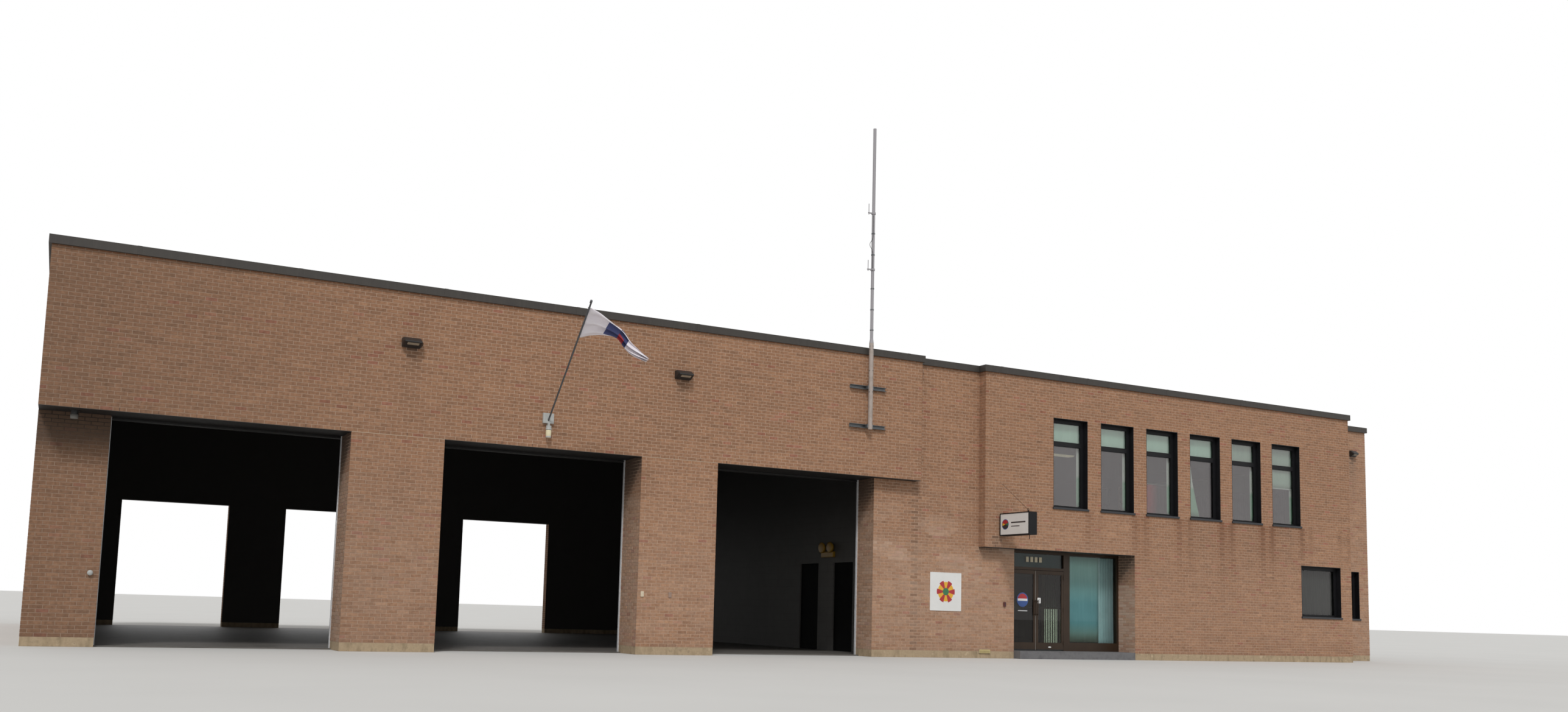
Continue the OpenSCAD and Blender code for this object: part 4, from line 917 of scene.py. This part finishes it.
# Vestibule screen behind the doors: bronze posts and rails, and hanging slats behind the right leaf
ves_y = ENT_Y + 380
posts = [block((a, ves_y, z0), (b, ves_y + 60, z1), 4) for a, b, z0, z1 in (
    (23230, 23300, FLOOR_Z, OVERHANG), (24790, 24900, FLOOR_Z, OVERHANG), (25480, 25570, FLOOR_Z, OVERHANG),
    (23230, 24790, FLOOR_Z, FLOOR_Z + 70), (24790, 25480, FLOOR_Z, FLOOR_Z + 190),
    (23230, 25480, 2380, 2460), (24790, 25480, 1350, 1386))]
piece("vestibule_screen", posts, bronze, "bronze_metal")
for word, low, high, made in (("upper", 1386, 2380, slat_vinyl), ("lower", FLOOR_Z + 190, 1350, lit_vinyl)):
    slats = []
    for x in np.arange(24912, 25470, 62):
        u = np.linspace(0, 1, 5)
        slats.append(surface(np.stack([np.broadcast_to(x + 34 * u, (2, 5)),
                                       np.broadcast_to(ves_y + 90 + 30 * u + 6 * np.sin(pi * u), (2, 5)),
                                       np.broadcast_to(np.array([[low], [high]]), (2, 5))], -1)))
    thicken(piece(word + "_slats", slats, made, "grey_plastic", smooth=True, fix=False))
# Blind behind the big window, and a curtain in grey folds over its right third, on one head rail
film_x = post + (ENT_X1 - 57 - post) * 0.68
piece("big_window_rail",
      [block((post, ENT_Y + 118, ent_head - 12), (ENT_X1 - 57, ENT_Y + 190, ent_head + 44), 4)], bronze,
      "bronze_metal")
hang("big_window_blind", teal_blind, "front", "big_window_rail", post + 10, film_x - 8, ENT_Y + 140,
     FLOOR_Z + 250, ent_head - 6, 3, 600)
hang("big_window_curtain", grey_cloth, "front", "big_window_rail", film_x, ENT_X1 - 60, ENT_Y + 160,
     FLOOR_Z + 60, ent_head - 6, 24, 95)

# Sign: black edge frame, dark end cover, and a plain generic badge with two bars on both faces
(sx0, sy0, sz0), (sx1, sy1, sz1) = span("sign_box")
edge = []
for x, s in ((sx0, -1), (sx1, 1)):
    a, b = (x - 7, x + 3) if s < 0 else (x - 3, x + 7)
    edge += [block((a, sy0, sz0), (b, sy1, sz0 + 22), 2), block((a, sy0, sz1 - 22), (b, sy1, sz1), 2),
             block((a, sy0, sz0), (b, sy0 + 22, sz1), 2), block((a, sy1 - 22, sz0), (b, sy1, sz1), 2)]
edge += [block((sx0 - 7, sy0 - 6, sz0 - 4), (sx1 + 7, sy0 + 2, sz1 + 4), 3),
         block((sx0 - 7, sy1 - 2, sz0 - 4), (sx1 + 7, sy1 + 6, sz1 + 4), 3),
         block((sx0 - 7, sy0, sz1 - 2), (sx1 + 7, sy1, sz1 + 4), 2),
         block((sx0 - 7, sy0, sz0 - 4), (sx1 + 7, sy1, sz0 + 2), 2)]
ring = np.linspace(0, 2 * pi, 25)
loop_y = sy0 + 180
edge.append(tube(np.stack([np.full(25, (sx0 + sx1) / 2), loop_y + 34 * np.cos(ring),
                           sz1 + 60 + 34 * np.sin(ring)], 1), 6))
edge.append(lathe(((sx0 + sx1) / 2, sy0 + 130, sz0 - 120), 2,
                  [(4, 0), (9, 4), (9, 116), (14, 118), (14, 124)], 12))
piece("sign_edge", edge, powder, "black_metal")
# Round badge and two bars, the same on both faces of the sign
badge_y, badge_z = sy1 - 210, (sz0 + sz1) / 2
for key, r0, r1, a0, a1 in (("blue", 118, 135, 0, 360), ("red", 0.5, 118, 20, 160),
                            ("ink", 0.5, 118, 200, 340), ("green", 0.5, 118, 160, 200),
                            ("yellow", 0.5, 118, -20, 20)):
    piece("sign_badge_" + key, [disc((x - off, badge_y, badge_z), r0, r1, a0, a1, 1, axis=0)
                                for x, off in ((sx0, 0), (sx1, -1))], vinyl[key], "white_panel")
piece("sign_bars", [block((x - 1, badge_y - 790, badge_z + 20), (x + 1, badge_y - 230, badge_z + 56), 0.3)
                    for x in (sx0, sx1)]
      + [block((x - 1, badge_y - 560, badge_z - 70), (x + 1, badge_y - 230, badge_z - 48), 0.3)
         for x in (sx0, sx1)], vinyl["ink"], "white_panel")

# Plaque: folded edge, and a generic rosette in the same colours
(px0, py0, pz0), (px1, py1, pz1) = span("plaque")
centre = ((px0 + px1) / 2, py0, (pz0 + pz1) / 2)
piece("plaque_edge", [block((x0, py0 - 3, z0), (x1, py1, z1), 3) for x0, x1, z0, z1 in (
    (px0 - 2, px0 + 10, pz0 - 2, pz1 + 2), (px1 - 10, px1 + 2, pz0 - 2, pz1 + 2),
    (px0, px1, pz0 - 2, pz0 + 10), (px0, px1, pz1 - 10, pz1 + 2))], acrylic, "white_panel")
for key, wedges, r0, r1 in (("red", range(0, 360, 60), 95, 285), ("yellow", range(30, 390, 60), 95, 250),
                            ("green", (0,), 0.5, 95)):
    width = 360 if key == "green" else 30
    piece("plaque_rosette_" + key, [disc(centre, r0, r1, a - width / 2, a + width / 2, 1.5) for a in wedges],
          vinyl[key], "white_panel")

# Wall lamps: a wedge whose top and underside run to a narrow front edge, carried along X and chamfered at
# the ends, with a mounting plate behind it and a lens set in the underside
housings, plates, lens = [], [], []
for x, y, z, w, h, d in ((LAMPS[0], 0, LAMP_Z, 440, LAMP_H, 250), (LAMPS[1], 0, LAMP_Z, 440, LAMP_H, 250),
                         (FAR_LAMP_X, FAR_Y, LAMP_Z + FAR_LAMP_UP, 286, LAMP_H, 175)):
    wedge = np.array([(0, 0.06 * h), (-0.3 * d, 0.04 * h), (-d, 0.45 * h), (-d, 0.56 * h),
                      (-0.4 * d, 0.97 * h), (0, h)])
    middle = np.array([0, 0.5 * h])
    housings.append(loft([[(x + at * w, y + q[0], z + q[1]) for q in middle + (wedge - middle) * size]
                          for at, size in ((-0.5, 0.8), (-0.45, 1), (0.36, 1), (0.5, 0.4))]))
    plates.append(block((x - 0.46 * w, y - 12, z + 10), (x + 0.38 * w, y, z + h), 4))
    a, b = wedge[1] + (wedge[2] - wedge[1]) * 0.5, wedge[1] + (wedge[2] - wedge[1]) * 0.85
    out = np.array([b[1] - a[1], a[0] - b[0]]) / np.hypot(*(b - a)) * -1
    lens.append(loft([[(x - 0.04 * w + s * (w - 60 * k) * 0.28, y + q[0] + out[0] * lift,
                        z + q[1] + out[1] * lift) for s, q in ((-1, a), (1, a), (1, b), (-1, b))]
                      for lift, k in ((-2.0, 0), (5.0, 0), (8.0, 1))]))
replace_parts(piece("lamp_housings", housings, lamp_steel, "dark_metal"), "wall_lamps")
piece("lamp_plates", plates, lamp_steel, "dark_metal")
piece("lamp_lenses", lens, lamp_glass, "glass")

# Fittings: bell rim, outlet lids, intercom front, louvred vent, soffit lamp trim
bell_at = BAYS[0][0] - 153, SETBACK - 40, 1407
piece("bell_rim", [lathe(bell_at, 1, [(45, 0), (52, -2), (52, -10), (30, -22), (8, -26)], 32)], housing,
      "grey_plastic", smooth=True)
pier_x = BAYS[1][1]
for word, x in (("left", 116), ("right", 807)):
    piece("outlet_lid_" + word, [block((pier_x + x - 38, -22, 1294), (pier_x + x + 38, 0, 1417), 5)]
          + [block((pier_x + x + a - 5, -26, 1320), (pier_x + x + a + 5, -20, 1390), 2) for a in (-14, 14)],
          lid_enamel[word], "grey_plastic")
piece("intercom_front", [block((ENT_X0 - 365, RECESS - 46, 1350), (ENT_X0 - 293, RECESS - 6, 1472), 6)],
      red_enamel, "grey_plastic")
piece("intercom_buttons", [lathe((ENT_X0 - 329, RECESS - 46, z), 1, [(12, 0), (12, -4), (8, -6)], 16)
                           for z in (1380, 1415)]
      + [block((ENT_X0 - 352, RECESS - 49, z), (ENT_X0 - 306, RECESS - 45, z + 4), 1)
         for z in (1436, 1444, 1452)], vinyl["ink"], "grey_plastic")
piece("vent_front", [block((OFFICE_X + 28, RECESS - 30, 126), (OFFICE_X + 385, RECESS - 18, 222), 4)]
      + [block((OFFICE_X + 44, RECESS - 38, z), (OFFICE_X + 369, RECESS - 26, z + 7), 2)
         for z in (144, 160, 176, 192)],
      vent_vinyl, "grey_plastic")
piece("soffit_lamp_neck", [lathe((610, 400, BAND_Z), 2, [(92, -2), (92, -12), (64, -16), (64, -90)], 32)],
      lamp_steel, "black_metal")
piece("soffit_lamp_drum",
      [lathe((610, 400, BAND_Z), 2, [(63, -84), (70, -88), (70, -158), (62, -168), (10, -170)], 32)],
      shaded_casting, "grey_plastic", smooth=True)

# Flag lamp globe under the bracket box
fx = (span("flag_bracket")[0][0] + span("flag_bracket")[1][0]) / 2
fz = span("flag_bracket")[0][2]
piece("flag_lamp_globe",
      [lathe((fx, -90, fz), 2, [(12, -6), (44, -2), (60, 24), (62.5, 80), (62, 150), (61, 168)], 32)],
      cream_glass, "grey_plastic", smooth=True)
piece("flag_lamp_cap", [lathe((fx, -90, fz + 165), 2, [(60, 0), (68, 2), (68, 30), (50, 50), (30, 96)], 32)],
      housing, "grey_plastic", smooth=True)

# Mast: bolts of its four clamps, bands on the upper tube, and a cable strapped to it with one bulge
mx, my = 18275, -150
bolts = []
for z in (7640, 7720, 6560, 7100):
    for a in np.radians((200, 290, 20, 110)):
        c = np.array([mx + 57 * cos(a), my + 57 * sin(a)])
        out = np.array([cos(a), sin(a)])
        ring = np.radians(np.arange(6) * 60)
        side = np.array([-out[1], out[0]])
        bolts.append(loft([[(*(c + out * o + side * 11 * cos(r)), z + 11 * sin(r)) for r in ring]
                           for o in (-2, 9)]))
piece("mast_bolts", bolts, galvanised, "galvanised")
piece("mast_bands", [lathe((mx, my, z), 2, [(42, 0), (47, 1), (47, 26), (42, 27)], 24)
                     for z in (8120, 8640, 9180, 10050, 10600)], galvanised, "galvanised", smooth=True)
t = np.linspace(0, 1, 60)
cable_z = 9640 + 1440 * t
bulge = bell(cable_z - 10310, 110)
cable = np.stack([mx - 30 - 95 * bulge, np.full(60, my - 38.0), cable_z], 1)
piece("mast_cable", [tube(cable, 6)], rubber, "black_metal", smooth=True)

# Flag: polyester cloth hung from the pole
pole_lo, pole_hi = span("flag_pole")
e = np.array([0, pole_lo[1] - pole_hi[1], pole_hi[2] - pole_lo[2]])
e /= np.linalg.norm(e)
foot = np.array([fx, -60, fz + 391])


# Cut height of the flag along the pole, and how far up the pole its upper corner is
HOIST, FLAG_UP = 785.0, 3040


def flag_cloth(rows=41, cols=81):
    """The upper and lower edges are smooth curves from the pole to the free corner. Between them the
    cloth swings in depth with 2.5 folds, as deep as needed to keep its cut height in every column."""
    s = np.linspace(0, 1, cols)
    upper_at = np.array([0, 236, 475, 753, 952, 1189, 1464, 1738]) / 1738
    upper = np.array([(21, 0, 0), (233, 21, -68), (444, 51, -176), (685, 93, -308), (850, 133, -412),
                      (1018, 173, -574), (1249, 213, -719), (1485, 253, -851)], float)
    lower_at = np.array([0, 293, 581, 871, 1027, 1239, 1446, 1649]) / 1649
    lower = np.array([(21, 574, -535), (296, 523, -456), (579, 473, -438), (859, 423, -492),
                      (936, 393, -625), (1079, 353, -777), (1257, 308, -872), (1444, 268, -940)], float)
    up, low = [np.stack([smooth_curve(at, edge[:, k], s) for k in range(3)], 1)
               for at, edge in ((upper_at, upper), (lower_at, lower))]
    v = np.linspace(0, 1, rows)
    straight = up[:, None] * (1 - v[None, :, None]) + low[:, None] * v[None, :, None]
    phase = 2 * pi * (2.5 * v[None, :] + 0.9 * s[:, None])
    wave = np.sin(phase) * np.sin(pi * v)[None, :] ** 0.5
    depth_dir = np.cross(low - up, [0.8, 0, -0.6])
    depth_dir /= np.linalg.norm(depth_dir, axis=1)[:, None]
    size = np.zeros(cols)
    lo_a, hi_a = np.zeros(cols), np.full(cols, 400.0)
    for _ in range(30):
        size = (lo_a + hi_a) / 2
        p = straight + (size[:, None] * wave)[..., None] * depth_dir[:, None]
        length = np.linalg.norm(np.diff(p, axis=1), axis=2).sum(1)
        lo_a, hi_a = np.where(length < HOIST, size, lo_a), np.where(length < HOIST, hi_a, size)
    return straight + (size[:, None] * wave)[..., None] * depth_dir[:, None] + foot + e * FLAG_UP


def smooth_curve(x, y, at):
    """A cubic through the table with slopes from its neighbours."""
    slope = np.gradient(y, x)
    k = np.clip(np.searchsorted(x, at) - 1, 0, len(x) - 2)
    h = x[k + 1] - x[k]
    t = (at - x[k]) / h
    return ((1 + 2 * t) * (1 - t) ** 2 * y[k] + t * (1 - t) ** 2 * h * slope[k]
            + t * t * (3 - 2 * t) * y[k + 1] + t * t * (t - 1) * h * slope[k + 1])


cloth = flag_cloth()
flag = piece("flag_cloth", [surface(cloth)], polyester, "cloth", smooth=True, fix=False,
             fly=np.repeat(np.linspace(0, 1, cloth.shape[0]), cloth.shape[1]),
             drop=np.tile(np.linspace(0, 1, cloth.shape[1]), cloth.shape[0]))
fly_at, drop_at = [add(polyester, "Attribute", attribute_name=key).outputs["Fac"] for key in ("fly", "drop")]


def between(value, low, high):
    """1 where low < value < high."""
    above = add(polyester, "Math", (0, value), (1, low), operation="GREATER_THAN").outputs[0]
    return times(polyester, above, add(polyester, "Math", (0, value), (1, high),
                                       operation="LESS_THAN").outputs[0])


# Printed fields: a light and a dark blue one side by side, and a red one over the dark one's foot
for code, fly_span, drop_span in (("#454C7A", (0.31, 0.5), (0.12, 0.78)),
                                  ("#2F3560", (0.5, 0.66), (0.05, 1.0)),
                                  ("#A32B36", (0.5, 0.6), (0.25, 1.0))):
    overlay(polyester, code, between(fly_at, *fly_span), between(drop_at, *drop_span))
thicken(flag)
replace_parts(flag, "flag")
ring_yz = np.array([[0.72], [0.69]]) * 23 * np.sin(ring)
piece("flag_rings", [tube(np.stack([fx + 23 * np.cos(ring), *(foot[1:, None] + e[1:, None] * up + ring_yz)],
                                   1), 3) for up in (2270, 2650, 3030)], silver, "galvanised", smooth=True)
piece("pole_cap", [tube(np.array([foot + e * q for q in (3150, 3160, 3200, 3216)]), 24, 16)], rubber,
      "black_metal", smooth=True)

# Finishes of the CAD nodes
for names, made in (
        ("left_pier pier_two pier_three right_pier plaque_wall recess_wall upper_front wall_returns", mortar),
        ("office_front_upper office_front_lower far_right_wall", mortar_front),
        ("left_side_wall", mortar_left), ("right_side_wall", mortar_right),
        ("rear_piers rear_header rear_office_wall", mortar_rear),
        ("bay_floor office_upper_floor", floor_slab), ("office_floor", step_concrete),
        ("base_course", concrete), ("inner_wall", block_paint),
        ("bay_header soffits", dark_steel), ("inner_doors", door_shade_black), ("coping", coping_sheet),
        ("wall_lamps", lamp_steel),
        ("window_frames sign_bracket", powder), ("window_glass", solar_glass), ("entrance_glass", big_glass),
        ("door_left_glass door_right_glass", door_glass), ("entrance_frame door_left door_right", bronze),
        ("roofs", gravel),
        ("door_tracks", white_steel), ("plaque sign_box", acrylic), ("wall_fittings flag_bracket", housing),
        ("flag_pole", pole_paint), ("mast", mast_paint), ("mast_brackets", galvanised), ("flag", polyester)):
    for name in names.split():
        for index in range(max(1, len(NODES[name].data.materials))):
            if NODES[name].data.materials:
                NODES[name].data.materials[index] = made
            else:
                NODES[name].data.materials.append(made)

# Stage, light and camera
FAR = 2000
ground = bpy.data.meshes.new("ground")
corners = [(x * FAR, y * FAR, -0.002) for x, y in ((-1, -1), (1, -1), (1, 1), (-1, 1))]
ground.from_pydata(corners, [], [(0, 1, 2, 3)])
# Matt pale floor paint: it only takes the building's shadow
ground.materials.append(finish("pale_floor_paint", ["#C9C8C5", "#CDCCC9"], 4000, 500, (0.85, 0.9)))
ground_object = bpy.data.objects.new("ground", ground)
bpy.context.scene.collection.objects.link(ground_object)

world = bpy.data.worlds.new("studio")
bpy.context.scene.world = world
world.use_nodes = True
world.node_tree.nodes.clear()
path = add(world, "LightPath")
# Seen directly, in a mirror or through glass the backdrop is white; it lights the building more weakly
seen = add(world, "Math", (0, path.outputs["Is Camera Ray"]), (1, path.outputs["Is Glossy Ray"]),
           operation="MAXIMUM")
seen = add(world, "Math", (0, seen.outputs[0]), (1, path.outputs["Is Transmission Ray"]), operation="MAXIMUM")
glow = add(world, "MapRange", ("Value", seen.outputs[0]), ("To Min", 0.55), ("To Max", 1.0))
backdrop = add(world, "Background", ("Color", (1.0, 1.0, 1.0, 1.0)), ("Strength", glow.outputs[0]))
add(world, "OutputWorld", ("Surface", backdrop.outputs[0]))

# One broad lamp from high on the left, before the front
lamp = bpy.data.lights.new("sun", "SUN")
lamp.energy, lamp.angle = 1.7, radians(12)
lamp_object = bpy.data.objects.new("sun", lamp)
bpy.context.scene.collection.objects.link(lamp_object)
lamp_object.rotation_euler = (radians(42), 0, radians(-28))

# Camera at the photograph's place and angle; yaw turns it right, pitch up, and roll about its own axis
camera = bpy.data.cameras.new("camera")
camera.lens, camera.sensor_width, camera.clip_end = 29.6663, 36, 4000
camera.shift_x, camera.shift_y = 0.040327, 0.073758
camera_object = bpy.data.objects.new("camera", camera)
bpy.context.scene.collection.objects.link(camera_object)
yaw, pitch, roll = 0.47049, 0.10694, -0.02885
forward = np.array([sin(yaw) * cos(pitch), cos(yaw) * cos(pitch), sin(pitch)])
right = np.array([cos(yaw), -sin(yaw), 0])
down = np.cross(forward, right)
right, down = cos(roll) * right + sin(roll) * down, cos(roll) * down - sin(roll) * right
turn = Matrix([[right[k], -down[k], -forward[k], place] for k, place in enumerate(
    (CORNER[0] + 0.55, CORNER[1] - 26.875, 1.034))] + [[0, 0, 0, 1]])
camera_object.matrix_world = turn
bpy.context.scene.camera = camera_object

bpy.context.scene.view_settings.view_transform = "Standard"
